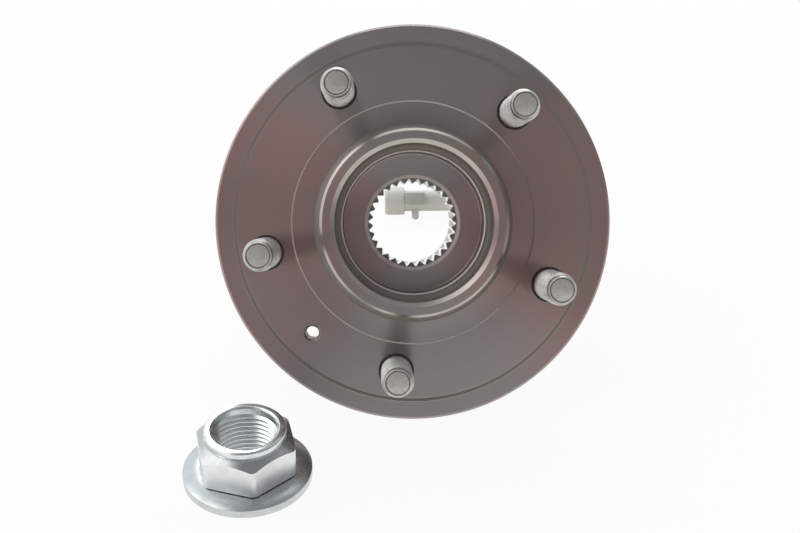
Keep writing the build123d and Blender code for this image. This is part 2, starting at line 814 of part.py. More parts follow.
connector_length = connector_collar_length + connector_body_length
lock_start = connector_collar_length + lock_offset
with BuildPart() as connector_shell:
    with BuildSketch(connector_plane(0)):
        Circle(connector_collar_radius)
    extrude(amount=connector_collar_length)
    fillet(connector_shell.edges().filter_by(GeomType.CIRCLE), radius=connector_edge)
    with BuildSketch(connector_plane(connector_collar_length)):
        Circle(connector_body_radius)
    extrude(amount=connector_body_length)
    # plinth for the terminal lock
    with BuildSketch(connector_plane(connector_collar_length)):
        with Locations(Rotation(0, 0, lock_angle)):
            with Locations((lock_plinth_height / 2, 0)):
                Rectangle(lock_plinth_height, lock_width + 2 * lock_margin)
    extrude(amount=lock_length + 2 * lock_offset)
    # clip tab with a round end, low on the front
    with BuildSketch(
        Plane(
            origin=connector_plane(tab_position).origin,
            x_dir=(0, -sin(radians(tab_angle)), cos(radians(tab_angle))),
            z_dir=(0, cos(radians(tab_angle)), sin(radians(tab_angle))),
        )
    ):
        with Locations((tab_reach / 2, 0)):
            Rectangle(tab_reach, 2 * tab_radius)
        with Locations((tab_reach, 0)):
            Circle(tab_radius)
    extrude(amount=tab_thickness / 2, both=True)
    # socket at the front and the boot's seat at the back
    with BuildSketch(connector_plane(0)):
        Circle(connector_socket_radius)
    extrude(amount=connector_socket_depth, mode=Mode.SUBTRACT)
    with BuildSketch(connector_plane(connector_length - connector_boot_plug_length)):
        Circle(connector_boot_plug_radius + press_gap)
    extrude(amount=connector_boot_plug_length, mode=Mode.SUBTRACT)
connector_shell.part.label = "connector_shell"
export_step(connector_shell.part, "parts/connector_shell.step")

with BuildPart() as connector_lock:
    with BuildSketch(connector_plane(lock_start)):
        with Locations(Rotation(0, 0, lock_angle)):
            with Locations(((lock_plinth_height + lock_height) / 2, 0)):
                Rectangle(lock_height - lock_plinth_height, lock_width)
    extrude(amount=lock_length)
    fillet(connector_lock.edges().filter_by(Axis.X).group_by(Axis.Z)[-1], radius=edge_break)
connector_lock.part.label = "connector_lock"
export_step(connector_lock.part, "parts/connector_lock.step")

with BuildPart() as connector_pins:
    with BuildSketch(connector_plane(connector_socket_depth - pin_length)):
        with GridLocations(0, pin_spacing, 1, 2):
            Rectangle(pin_width, pin_thickness)
    extrude(amount=pin_length)
connector_pins.part.label = "connector_pins"
export_step(connector_pins.part, "parts/connector_pins.step")

with BuildPart() as connector_boot:
    with BuildSketch(connector_plane(connector_length - connector_boot_plug_length)):
        Circle(connector_boot_plug_radius)
    extrude(amount=connector_boot_plug_length)
    with BuildSketch(connector_plane(connector_length)):
        Circle(connector_boot_radius)
    with BuildSketch(connector_plane(connector_length + connector_boot_length)):
        Circle(connector_boot_end_radius)
    loft()
connector_boot.part.label = "connector_boot"
export_step(connector_boot.part, "parts/connector_boot.step")

# ------------------------------------------------------------------ sensor lead
# It leaves the strain relief in line with it, comes down to the surface behind the hub, goes
# round in one open loop and enters the connector from behind.
lead_start = lead_exit_plane(relief_length).origin
lead_second = lead_exit_plane(2 * relief_length).origin
connector_end_x = connector_mouth_x + connector_length + connector_boot_length
lead_on_floor = floor + lead_radius
lead_route = [
    tuple(lead_start),
    tuple(lead_second),
    (-57.0, 83.0, floor + 21.6),
    (-59.0, 99.5, floor + 11.4),
    (-61.0, 117.5, lead_on_floor),
    (-62.5, 137.0, lead_on_floor),
    (-59.0, 157.0, lead_on_floor),
    (-50.0, 175.0, lead_on_floor),
    (-33.5, 189.5, lead_on_floor),
    (-12.0, 198.0, lead_on_floor),
    (12.0, 200.5, lead_on_floor),
    (34.5, 198.5, lead_on_floor),
    (53.5, 193.0, lead_on_floor),
    (67.5, 183.0, lead_on_floor),
    (74.0, 168.0, lead_on_floor),
    (72.0, 152.5, lead_on_floor + 0.3),
    (62.5, 139.6, lead_on_floor + 2.0),
    (connector_end_x + 16.0, connector_y, connector_axis_z),
    (connector_end_x, connector_y, connector_axis_z),
]
lead_radii = []
for before, here, after in zip(lead_route, lead_route[1:], lead_route[2:]):
    run_in = Vector(here) - Vector(before)
    run_out = Vector(after) - Vector(here)
    half_turn = radians(run_in.get_angle(run_out)) / 2
    lead_radii.append(0.45 * min(run_in.length, run_out.length) / tan(half_turn))
with BuildPart() as sensor_lead:
    with BuildLine() as lead_path:
        FilletPolyline(lead_route, radius=lead_radii)
    with BuildSketch(lead_exit_plane(relief_length)):
        Circle(lead_radius)
    sweep()
sensor_lead.part.label = "sensor_lead"
export_step(sensor_lead.part, "parts/sensor_lead.step")

# ------------------------------------------------------------------ axle nut
nut_section = Plane(origin=(nut_x, nut_y, floor), x_dir=(1, 0, 0), z_dir=(0, -1, 0))
nut_axis = Axis((nut_x, nut_y, floor), (0, 0, 1))
nut_corner_radius = nut_across_flats / 2 / cos(radians(30))
nut_flare_radius = nut_skirt_radius + nut_flare
washer_bore_radius = nut_skirt_radius + washer_clearance
nut_bottom = washer_thickness + washer_clearance

with BuildPart() as nut_washer:
    washer_outline = profile(
        nut_section,
        (nut_flare_radius + washer_clearance, 0),
        (washer_radius - edge_break, 0),
        (washer_radius, edge_break),
        (washer_radius, washer_rim_thickness),
        (washer_crown_radius, washer_thickness),
        (washer_bore_radius, washer_thickness),
        (washer_bore_radius, nut_skirt_setback + nut_flare_height + nut_flare + washer_clearance),
        (nut_flare_radius + washer_clearance, nut_skirt_setback + nut_flare_height + washer_clearance),
    )
    revolve(washer_outline, axis=nut_axis)
nut_washer.part.label = "nut_washer"
export_step(nut_washer.part, "parts/nut_washer.step")

with BuildPart() as axle_nut:
    with BuildSketch(Plane((nut_x, nut_y, floor + nut_bottom))):
        RegularPolygon(nut_corner_radius, 6, rotation=nut_corner_angle)
    extrude(amount=nut_hex_top - nut_bottom)
    # the crown takes the hexagon's upper corners off
    crown_drop = (nut_corner_radius - nut_collar_radius) * tan(radians(nut_crown_angle))
    crown_outline = profile(
        nut_section,
        (0, nut_bottom),
        (nut_corner_radius + edge_break, nut_bottom),
        (nut_corner_radius + edge_break, nut_hex_top - crown_drop),
        (nut_corner_radius, nut_hex_top - crown_drop),
        (nut_collar_radius, nut_hex_top),
        (0, nut_hex_top),
    )
    revolve(crown_outline, axis=nut_axis, mode=Mode.INTERSECT)
    # skirt through the washer, flared below it, and the thin collar that is staked to the shaft
    groove_bottom = nut_collar_radius - nut_collar_groove
    nut_core = profile(
        nut_section,
        (0, nut_skirt_setback),
        (nut_flare_radius, nut_skirt_setback),
        (nut_flare_radius, nut_skirt_setback + nut_flare_height),
        (nut_skirt_radius, nut_skirt_setback + nut_flare_height + nut_flare),
        (nut_skirt_radius, nut_hex_top - edge_break),
        (groove_bottom, nut_hex_top - edge_break),
        (groove_bottom, nut_hex_top + nut_collar_groove_width),
        (nut_collar_radius, nut_hex_top + nut_collar_groove_width),
        (nut_collar_radius, nut_collar_height - nut_chamfer),
        (nut_collar_radius - nut_chamfer, nut_collar_height),
        (0, nut_collar_height),
    )
    revolve(nut_core, axis=nut_axis)
    nut_bore = profile(
        nut_section,
        (0, nut_skirt_setback),
        (nut_mouth_radius, nut_skirt_setback),
        (nut_thread_minor_radius, nut_skirt_setback + nut_mouth_radius - nut_thread_minor_radius),
        (nut_thread_minor_radius, nut_collar_height - nut_mouth_depth - nut_chamfer),
        (nut_mouth_radius, nut_collar_height - nut_mouth_depth),
        (nut_mouth_radius, nut_collar_height - nut_chamfer),
        (nut_mouth_radius + nut_chamfer, nut_collar_height),
        (0, nut_collar_height),
    )
    revolve(nut_bore, axis=nut_axis, mode=Mode.SUBTRACT)
axle_nut.part.label = "axle_nut"
export_step(axle_nut.part, "parts/axle_nut.step")

# ------------------------------------------------------------------ the lead's bends and length
section_volume = pi * lead_radius**2 * lead_path.wire().length
print(f"tilt {degrees(tilt):.3f} degrees, surface at {floor:.3f}")
print("lead radii", [round(radius, 1) for radius in lead_radii])
print("lead route", [tuple(round(value, 3) for value in point) for point in lead_route])
print(f"lead length {lead_path.wire().length:.1f}")
print(f"lead volume over section times length {sensor_lead.part.volume / section_volume:.4f}")
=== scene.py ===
import json
from math import acos, asin, cos, pi, radians, sin, tan

import bmesh
import bpy
from mathutils import Matrix, Vector


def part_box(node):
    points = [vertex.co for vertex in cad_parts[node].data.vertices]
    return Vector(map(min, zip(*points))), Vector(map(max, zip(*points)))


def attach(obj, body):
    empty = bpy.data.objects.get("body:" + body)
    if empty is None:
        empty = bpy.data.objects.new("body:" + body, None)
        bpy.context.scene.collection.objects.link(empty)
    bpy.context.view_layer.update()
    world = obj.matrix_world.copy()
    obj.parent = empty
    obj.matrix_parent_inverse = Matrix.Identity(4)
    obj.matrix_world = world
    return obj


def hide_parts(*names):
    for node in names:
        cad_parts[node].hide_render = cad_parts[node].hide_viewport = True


bl_info = {
    "name": "Wheel hub bearing",
    "version": (1, 0, 0),
    "blender": (4, 5, 0),
    "location": "3D View > Sidebar > Wheel Hub",
    "description": "Models and finishes a wheel hub bearing, its sensor lead and its axle nut",
    "category": "Add Mesh",
}

# ------------------------------------------------------------------ the frame
# The packed model is the fixed frame. The hub axis, the stud circle and the nut's place come
# from its joints and mounts. The hub's own pieces are modelled with that axis upright, and
# then laid into the frame.
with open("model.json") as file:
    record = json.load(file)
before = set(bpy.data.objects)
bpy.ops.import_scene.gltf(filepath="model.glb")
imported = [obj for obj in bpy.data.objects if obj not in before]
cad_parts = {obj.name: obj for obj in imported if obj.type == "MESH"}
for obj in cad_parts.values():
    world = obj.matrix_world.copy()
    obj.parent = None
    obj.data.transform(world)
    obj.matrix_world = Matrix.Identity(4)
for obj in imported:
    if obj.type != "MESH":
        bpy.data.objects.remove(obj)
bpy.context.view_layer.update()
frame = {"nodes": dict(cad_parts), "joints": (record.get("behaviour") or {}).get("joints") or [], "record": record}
joints = {joint["name"]: joint for joint in frame["joints"]}
mounts = {mount["name"]: mount for mount in frame["record"]["mounts"]}

MM = 0.001
NEAR = 0.01 * MM  # the distance within which two radii or heights count as the same
WELD = 0.001 * MM  # the distance within which corners are merged
SHARP_ANGLE = radians(26)  # a steeper edge stays crisp
hub_axis = Vector(joints["hub_spin"]["axis"]).normalized()
hub_tilt = asin(hub_axis.z)
hub_up = hub_axis.cross(Vector((1, 0, 0)))
HUB_FRAME = Matrix((Vector((1, 0, 0)), hub_up, hub_axis)).transposed().to_4x4()
STUD_CIRCLE = mounts["wheel_studs"]["dims"]["pcd_mm"] / 2 * MM
STUD_COUNT = mounts["wheel_studs"]["dims"]["count"]
STUD_RADIUS = mounts["wheel_studs"]["dims"]["stud_r_mm"] * MM
NUT_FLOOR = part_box("nut_washer")[0].z
NUT_CENTRE = Vector((*joints["nut_spin"]["pos_m"][:2], NUT_FLOOR))
NUT_FRAME = Matrix.Translation(NUT_CENTRE)
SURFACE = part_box("wheel_hub")[0].z

# The connector's axis runs along the frame's X, and its own X points up.
connector_mouth = Vector(mounts["sensor_connector"]["pos_m"])
CONNECTOR_FRAME = Matrix.Translation(connector_mouth) @ Matrix(
    (Vector((0, 0, 1)), Vector((0, -1, 0)), Vector((1, 0, 0)))
).transposed().to_4x4()


# ------------------------------------------------------------------ properties
def linear(hex_colour):
    """An sRGB hex colour such as "#7A6B66" as linear red, green and blue."""
    channels = (int(hex_colour[i : i + 2], 16) / 255 for i in (1, 3, 5))
    return [c / 12.92 if c <= 0.04045 else ((c + 0.055) / 1.055) ** 2.4 for c in channels]


def size(label, millimetres, text):
    """A length that a user may change, given here in millimetres."""
    return bpy.props.FloatProperty(
        name=label, description=text, default=millimetres * MM, unit="LENGTH", precision=5
    )


def angle(label, value, text):
    """An angle that a user may change, given here in degrees."""
    return bpy.props.FloatProperty(
        name=label, description=text, default=radians(value), subtype="ANGLE"
    )


def number(label, value, text, low=0.0, high=100.0):
    """A plain number that a user may change."""
    return bpy.props.FloatProperty(
        name=label, description=text, default=value, min=low, max=high, subtype="FACTOR"
    )


def colour(label, hex_colour, text):
    """A colour that a user may change, given here as sRGB hex."""
    return bpy.props.FloatVectorProperty(
        name=label, description=text, default=linear(hex_colour), subtype="COLOR", min=0, max=1
    )


class HubSizes(bpy.types.PropertyGroup):
    """Radii and heights of the hub, with heights counted outboard from the wheel face."""

    flange_radius: size("Flange radius", 75.5, "Outer radius of the wheel flange")
    flange_back: size("Flange back", -12.0, "Height of the flange's inboard face")
    rim_chamfer: size("Rim chamfer", 0.8, "Chamfer round the flange")
    seat_outer: size("Seat outer radius", 67.4, "Outer radius of the brake disc's seat")
    seat_inner: size("Seat inner radius", 46.6, "Inner radius of the brake disc's seat")
    groove_width: size("Groove width", 3.5, "Width of the shallow groove outside the disc's seat")
    step_width: size("Step width", 1.2, "Width of the slope from the seat into that groove")
    groove_depth: size("Groove depth", 0.05, "Depth of that groove below the face")
    seat_round: size("Seat rounding", 0.4, "Cut at the rounded corners of seat and groove")
    relief: size("Face relief", 0.5, "How far the rest of the face lies below the seat")
    pilot_radius: size("Pilot radius", 36.6, "Radius that centres the brake disc")
    pilot_height: size("Pilot height", 6.0, "Height of the disc's pilot")
    pilot_rise: size("Pilot rise", 1.2, "Height of the slope from the pilot up to the spigot")
    pilot_fillet: size("Pilot fillet", 1.5, "Fillet at the foot of the pilot")
    spigot_radius: size("Spigot radius", 35.2, "Radius that centres the wheel")
    spigot_height: size("Spigot height", 16.5, "Height of the spigot")
    spigot_bore: size("Spigot bore", 29.7, "Bore of the spigot above its shelf")
    outer_chamfer: size("Outer chamfer", 1.0, "Chamfer on the outside of the spigot")
    inner_chamfer: size("Inner chamfer", 1.6, "Chamfer on the inside of the spigot")
    chamfer_slope: number("Inner slope", 0.6, "Depth of the inner chamfer over its width")
    shelf_height: size("Shelf height", 4.0, "Height of the step inside the spigot")
    shelf_fillet: size("Shelf fillet", 2.0, "Fillet between that step and the spigot's bore")
    recess_radius: size("Recess radius", 26.9, "Radius of the nut recess below the step")
    recess_edge: size("Recess edge", 0.5, "Chamfer at the recess's mouth")
    recess_fillet: size("Recess fillet", 0.6, "Fillet round the face that the nut bears on")
    nut_seat: size("Nut seat", -8.0, "Height of the face that the nut bears on")
    bore_radius: size("Bore radius", 17.2, "Radius of the driveshaft bore")
    bore_chamfer: size("Bore chamfer", 1.3, "Chamfer at the mouth of the bore")
    barrel_end: size("Barrel end", -65.0, "Height of the barrel's inboard end")
    root_radius: size("Root radius", 38.5, "Radius where the flange's back slopes down")
    root_step: size("Root step", 2.0, "Depth and width of that slope")
    root_fillet: size("Root fillet", 3.0, "Fillet between the flange and the barrel")
    barrel_radius: size("Barrel radius", 29.5, "Radius of the barrel outboard of the balls")
    pitch_radius: size("Pitch radius", 31.0, "Radius of the circle of balls")
    row_height: size("Row height", -28.5, "Height of the outboard row of balls")
    ball_groove: size("Ball groove radius", 6.55, "Radius of the ball groove's section")
    land_radius: size("Land radius", 25.2, "Radius of the barrel between the rows")
    land_end: size("Land end", -45.0, "Height of the shoulder against the inner ring")
    tail_radius: size("Tail radius", 21.0, "Radius of the barrel under the inner ring")
    tail_chamfer: size("Tail chamfer", 1.0, "Chamfer at the barrel's inboard end")
    screw_radius: size("Screw hole radius", 2.5, "Radius of the disc screw's hole")
    screw_chamfer: size("Screw hole chamfer", 0.8, "Chamfer of the disc screw's hole")


class SplineSizes(bpy.types.PropertyGroup):
    """The splined stretch of the driveshaft bore."""

    teeth: bpy.props.IntProperty(name="Teeth", description="Number of spline teeth", default=30)
    major: size("Major radius", 17.0, "Radius at the bottom of the spaces")
    minor: size("Minor radius", 15.5, "Radius over the teeth")
    mouth: size("Space mouth", 2.7, "Width of a space at the teeth's tips")
    root: size("Space root", 0.5, "Width of a space at its bottom")
    front: size("Front", -11.0, "Height of the spline's outboard end")
    length: size("Length", 21.0, "Length of the spline")
    lead_in: size("Lead-in", 0.9, "Length of the bevel on the teeth's ends")
    phase: angle("Phase", 10.1, "Angle of the first space")


class StudSizes(bpy.types.PropertyGroup):
    """One wheel stud, with heights counted outboard from the wheel face."""

    first_angle: angle("First angle", 46.9, "Angle of the first stud round the hub")
    length: size("Length", 38.5, "Height of the stud's tip")
    dog_radius: size("Dog point radius", 5.1, "Radius of the unthreaded point")
    dog_length: size("Dog point length", 5.0, "Length of the unthreaded point")
    taper: size("Taper", 1.0, "Length of the taper below the point")
    tip_chamfer: size("Tip chamfer", 0.75, "Chamfer at the tip")
    dimple: size("Dimple", 0.25, "Depth of the pressed mark in the tip")
    head_radius: size("Head radius", 8.5, "Radius of the head behind the flange")
    head: size("Head", 3.0, "Thickness of the head")
    shank: size("Shank radius", 6.38, "Radius of the pressed shank")
    counterbore: size("Counterbore radius", 6.8, "Radius of the recess round the stud")
    counterbore_depth: size("Counterbore depth", 1.5, "Depth of the recess round the stud")
    pitch: size("Thread pitch", 1.5, "Pitch of the stud's thread")
    thread_start: size("Thread start", 4.0, "Height of the thread's lower end")


class NutSizes(bpy.types.PropertyGroup):
    """The axle nut and its washer, with heights counted from the surface they stand on."""

    across_flats: size("Across flats", 34.0, "Width of the hexagon")
    corner_angle: angle("Corner angle", -78.3, "Angle of the hexagon's front corner")
    corner_round: size("Corner rounding", 1.6, "Rounding of the hexagon's upright corners")
    bottom: size("Hexagon bottom", 5.1, "Height of the hexagon's underside")
    top: size("Hexagon top", 18.6, "Height of the hexagon's top")
    crown: angle("Crown angle", 30.0, "Slope of the crown on the hexagon")
    collar_radius: size("Collar radius", 15.0, "Radius of the staking collar")
    collar_height: size("Collar height", 22.1, "Height of the staking collar")
    collar_edge: size("Collar edge", 0.7, "Width of the collar's sloping edge")
    groove: size("Groove depth", 0.7, "Depth of the groove under the collar")
    thread_minor: size("Thread minor radius", 10.92, "Radius over the thread's crests")
    thread_major: size("Thread major radius", 12.0, "Radius at the thread's roots")
    thread_pitch: size("Thread pitch", 2.0, "Pitch of the nut's thread")
    mouth_depth: size("Mouth depth", 2.6, "Depth of the plain mouth above the thread")
    skirt_radius: size("Skirt radius", 14.0, "Radius of the skirt inside the washer")
    skirt_bottom: size("Skirt bottom", 0.5, "Height of the skirt's underside")
    flare: size("Flare", 0.9, "How far the skirt's foot is flared to hold the washer")
    washer_radius: size("Washer radius", 23.9, "Outer radius of the washer")
    washer_rim: size("Washer rim", 3.4, "Thickness of the washer at its rim")
    washer_top: size("Washer top", 4.8, "Thickness of the washer at its crown")
    washer_crown: size("Washer crown radius", 20.8, "Radius where the washer's cone ends")
    washer_round: size("Washer rounding", 2.6, "Cut at the rounded edge of the washer's crown")
    washer_bore: size("Washer bore", 14.3, "Radius of the washer's hole")
    pocket: size("Pocket height", 2.1, "Height of the pocket that holds the skirt's foot")


class ConnectorSizes(bpy.types.PropertyGroup):
    """The connector, with distances counted from its mouth."""

    collar_radius: size("Collar radius", 6.7, "Radius of the collar round the socket")
    collar_length: size("Collar length", 9.6, "Length of the collar")
    socket_radius: size("Socket radius", 5.3, "Radius of the socket")
    socket_depth: size("Socket depth", 9.0, "Depth of the socket")
    body_radius: size("Body radius", 5.0, "Radius of the body")
    body_length: size("Body length", 23.2, "Length of the body behind the collar")
    edge: size("Edge rounding", 0.6, "Rounding of the collar's rims")
    lock_angle: angle("Lock angle", 50.0, "Turn of the lock from upright towards the front")
    lock_start: size("Lock start", 9.8, "Distance of the lock from the mouth")
    lock_length: size("Lock length", 9.2, "Length of the lock")
    lock_width: size("Lock width", 5.2, "Width of the lock")
    lock_bottom: size("Plinth height", 5.6, "Height of the lock's plinth above the axis")
    lock_top: size("Lock height", 7.2, "Height of the lock above the axis")
    tab_angle: angle("Tab angle", 125.0, "Turn of the clip tab from upright towards the front")
    tab_place: size("Tab place", 14.8, "Distance of the clip tab from the mouth")
    tab_reach: size("Tab reach", 8.1, "Distance of the tab's round end from the axis")
    tab_radius: size("Tab radius", 1.7, "Radius of the tab's round end")
    tab_thickness: size("Tab thickness", 1.6, "Thickness of the tab")
    lead_radius: size("Lead radius", 2.5, "Radius of the sensor lead")


class HubColours(bpy.types.PropertyGroup):
    """Colours of the finishes."""

    steel: colour("Turned steel", "#ACA5A2", "Turned forging steel with a film of oil")
    # Painted reflection: the brown-tinted steel that the turned steel takes at the hub's left and right sides, in
    # place of a reflected tint.
    steel_reflection_tint: colour("Oil tint", "#B79C99", "Turned steel where the oil film tints it")
    # Painted highlight: the pale colour of the thin line round the disc's seat and of the bore's mouth.
    line: colour("Burnished line", "#F2E6E2", "Burr on the inner edge of the disc's seat")
    # The chamfers' colour, which the chamfer material paints darker to the right as painted shade.
    chamfer: colour("Bright edge", "#C4BDB4", "Steel freshly cut by the chamfering tool")
    tooth: colour("Broached steel", "#E4E4E2", "Walls of the spline's teeth")
    # Painted shade: the colour laid in recesses, corners and the stud holes, and the base of the painted groove
    # shadow.
    dark: colour("Dark step", "#8F8680", "Steel in a groove that holds oil")
    stud: colour("Stud plating", "#D2D0CB", "Matt zinc plating of the studs")
    stud_tip: colour("Stud tip", "#E4DFD6", "Sheared end of a stud")
    zinc: colour("Bright zinc", "#E9EEEE", "Bright zinc plating of the nut")
    shell: colour("Connector plastic", "#E8E9E2", "Pale moulded nylon")
    lock: colour("Lock plastic", "#C6C9C4", "Grey moulded lock")
    rubber: colour("Black rubber", "#1B1B1C", "Moulded nitrile and the lead's jacket")
    boot: colour("Boot rubber", "#9A9C9A", "Grey moulded boot")
    ring: colour("Ring steel", "#8F8A86", "Turned bearing ring")
    ground: colour("Ground steel", "#C8C8C8", "Ground raceways and polished balls")
    sheet: colour("Sheet steel", "#B4B4B0", "Cold rolled seal cases")
    cage: colour("Cage nylon", "#4A3D2C", "Glass-filled nylon of the cages")
    brass: colour("Brass", "#C9A55A", "Turned brass bush")
    floor: colour("Surface", "#FFF9EE", "The surface under the object")


class CameraSizes(bpy.types.PropertyGroup):
    """Where the camera stands, counted from the point it is aimed at."""

    aim: bpy.props.FloatVectorProperty(
        name="Aim",
        description="Point that the camera looks at",
        default=(-0.00523, -0.00871, -0.01422),
        unit="LENGTH",
    )
    distance: size("Distance", 524.0, "Distance from the aim to the camera")
    elevation: angle("Elevation", 31.8, "Height of the camera above the aim")
    heading: angle("Heading", -1.25, "Turn of the camera about the upright")
    lens: number("Lens", 61.74, "Focal length in millimetres on a 36 mm sensor", 1, 500)


GROUPS = {
    "hub": HubSizes,
    "spline": SplineSizes,
    "stud": StudSizes,
    "nut": NutSizes,
    "connector": ConnectorSizes,
    "colours": HubColours,
    "camera": CameraSizes,
}


class HubSettings(bpy.types.PropertyGroup):
    """All the sizes and colours, in groups."""

    __annotations__ = {
        name: bpy.props.PointerProperty(
            type=group, name=name.capitalize(), description=group.__doc__
        )
        for name, group in GROUPS.items()
    }


def settings():
    """The sizes and colours of this scene."""
    return bpy.context.scene.wheel_hub_bearing


def at_stud(index):
    """A stud's place on its circle, with the first at zero, in the hub's own frame."""
    turn_about = settings().stud.first_angle + index * 2 * pi / STUD_COUNT
    return Matrix.Rotation(turn_about, 4, "Z") @ Matrix.Translation((STUD_CIRCLE, 0, 0))


# ------------------------------------------------------------------ mesh tools
def bevel(bm, geom, offset, segments, affect="EDGES"):
    """Rounds edges or corners by cutting the offset off both their sides."""
    bmesh.ops.bevel(
        bm, geom=geom, offset=offset, offset_type="OFFSET", segments=segments, profile=0.5,
        affect=affect, material=-1,
    )


def section(bm, *corners):
    """A closed outline of (radius, height) corners in the XZ plane, or of (radius, height, cut)
    where a corner is rounded by cutting that length off both its sides."""
    verts = [bm.verts.new((corner[0], 0, corner[1])) for corner in corners]
    face = bm.faces.new(verts)
    for vert, corner in zip(verts, corners):
        if len(corner) > 2:
            bevel(bm, [vert], corner[2], 6, "VERTICES")
    bmesh.ops.delete(bm, geom=bm.faces[:], context="FACES_ONLY")
    on_axis = [e for e in bm.edges if all(abs(v.co.x) < WELD for v in e.verts)]
    bmesh.ops.delete(bm, geom=on_axis, context="EDGES")


def turn(bm, steps):
    """Spins everything in the mesh once round Z, as a lathe would."""
    bmesh.ops.spin(
        bm, geom=bm.verts[:] + bm.edges[:], cent=(0, 0, 0), axis=(0, 0, 1), dvec=(0, 0, 0),
        angle=2 * pi, steps=steps, use_merge=True, use_duplicate=False,
    )
    bmesh.ops.remove_doubles(bm, verts=bm.verts[:], dist=WELD)
    bmesh.ops.recalc_face_normals(bm, faces=bm.faces[:])


def turned(steps, *corners):
    """A new mesh of one solid of revolution."""
    bm = bmesh.new()
    section(bm, *corners)
    turn(bm, steps)
    return bm


def paint(bm, slot, inner, outer, low, high):
    """Gives the faces between two radii and two heights a material slot."""
    for face in bm.faces:
        centre = face.calc_center_median()
        if inner < centre.xy.length < outer and low < centre.z < high:
            face.material_index = slot


def sharpen(bm):
    """Smooth shading that stays crisp at the machined edges."""
    for face in bm.faces:
        face.smooth = True
    for edge in bm.edges:
        edge.smooth = len(edge.link_faces) == 2 and edge.calc_face_angle(pi) < SHARP_ANGLE


def join(bm, other, matrix=None):
    """Adds another mesh to this one and frees it."""
    if matrix is not None:
        bmesh.ops.transform(other, matrix=matrix, verts=other.verts[:])
    mesh = bpy.data.meshes.new("joined")
    other.to_mesh(mesh)
    other.free()
    bm.from_mesh(mesh)
    bpy.data.meshes.remove(mesh)


def helix(root, crest, pitch, low, high, steps):
    """The skin of a thread from one height to another, between the radii of its root and its
    crest, with flats an eighth of the pitch wide. Each turn starts where the last one ends."""
    bm = bmesh.new()
    flat = 0.125
    outline = (
        (root, 0), (root, flat), (crest, 0.5 - flat / 2), (crest, 0.5 + flat / 2),
        (root, 1 - flat / 8), (root, 1),
    )
    verts = [bm.verts.new((radius, 0, low + share * pitch)) for radius, share in outline]
    for first, second in zip(verts, verts[1:]):
        bm.edges.new((first, second))
    turns = int((high - low) / pitch) - 1
    bmesh.ops.spin(
        bm, geom=bm.verts[:] + bm.edges[:], cent=(0, 0, 0), axis=(0, 0, 1),
        dvec=(0, 0, pitch / steps), angle=2 * pi * turns, steps=steps * turns,
        use_merge=False, use_duplicate=False,
    )
    bmesh.ops.remove_doubles(bm, verts=bm.verts[:], dist=2 * WELD)
    bmesh.ops.recalc_face_normals(bm, faces=bm.faces[:])
    return bm


def cut(piece, tool, operation="DIFFERENCE"):
    """Applies an exact boolean to a piece and removes the tool."""
    modifier = piece.modifiers.new("cut", "BOOLEAN")
    modifier.operation = operation
    modifier.solver = "EXACT"
    modifier.object = tool
    graph = bpy.context.evaluated_depsgraph_get()
    mesh = bpy.data.meshes.new_from_object(piece.evaluated_get(graph))
    piece.modifiers.clear()
    old = piece.data
    piece.data = mesh
    bpy.data.meshes.remove(old)
    bpy.data.objects.remove(tool)


def loose(bm, name, materials):
    """A mesh object that isn't a finished piece yet."""
    mesh = bpy.data.meshes.new(name)
    bm.to_mesh(mesh)
    bm.free()
    for material in materials:
        mesh.materials.append(material)
    piece = bpy.data.objects.new(name, mesh)
    bpy.context.scene.collection.objects.link(piece)
    return piece


def finish_piece(piece, body, node, place):
    """Lays a piece into the frame, makes it stand for a node and ride on its body."""
    bm = bmesh.new()
    bm.from_mesh(piece.data)
    sharpen(bm)
    bmesh.ops.transform(bm, matrix=place, verts=bm.verts[:])
    bm.to_mesh(piece.data)
    bm.free()
    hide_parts(node)
    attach(piece, body)


# ------------------------------------------------------------------ material tools
def add_node(tree, kind, inputs=None, **options):
    """Adds a node with its options. An input is a value, or the output that it is linked from,
    and a colour is given without its alpha."""
    node = tree.nodes.new(kind)
    for name, value in options.items():
        setattr(node, name, value)
    for name, value in (inputs or {}).items():
        socket = node.inputs[name]
        if isinstance(value, bpy.types.NodeSocket):
            tree.links.new(value, socket)
        elif socket.type == "RGBA":
            socket.default_value = (*value, 1.0)
        else:
            socket.default_value = value
    return node


def new_material(name):
    """An empty node material and its tree."""
    material = bpy.data.materials.new(name)
    material.use_nodes = True
    material.node_tree.nodes.clear()
    return material, material.node_tree


def repeats(millimetres):
    """The scale of a pattern whose features are this wide."""
    return 1 / (millimetres * MM)


def shaded(factor, base):
    """A colour made darker by a factor."""
    return [factor * channel for channel in base]


def graded(tree, value, low, high, first, second, most=1.0):
    """A colour that goes from the first to the second while a value rises from low to high.
    At the end it holds that share, at most, of the second."""
    share = add_node(
        tree, "ShaderNodeMapRange",
        {"Value": value, "From Min": low, "From Max": high, "To Max": most},
        interpolation_type="SMOOTHSTEP",
    ).outputs["Result"]
    return add_node(
        tree, "ShaderNodeMix", {0: share, 6: first, 7: second}, data_type="RGBA"
    ).outputs[2]


def coat(tree, inputs):
    """Ends a material in one coat over the whole surface."""
    shader = add_node(tree, "ShaderNodeBsdfPrincipled", inputs)
    add_node(tree, "ShaderNodeOutputMaterial", {"Surface": shader.outputs[0]})


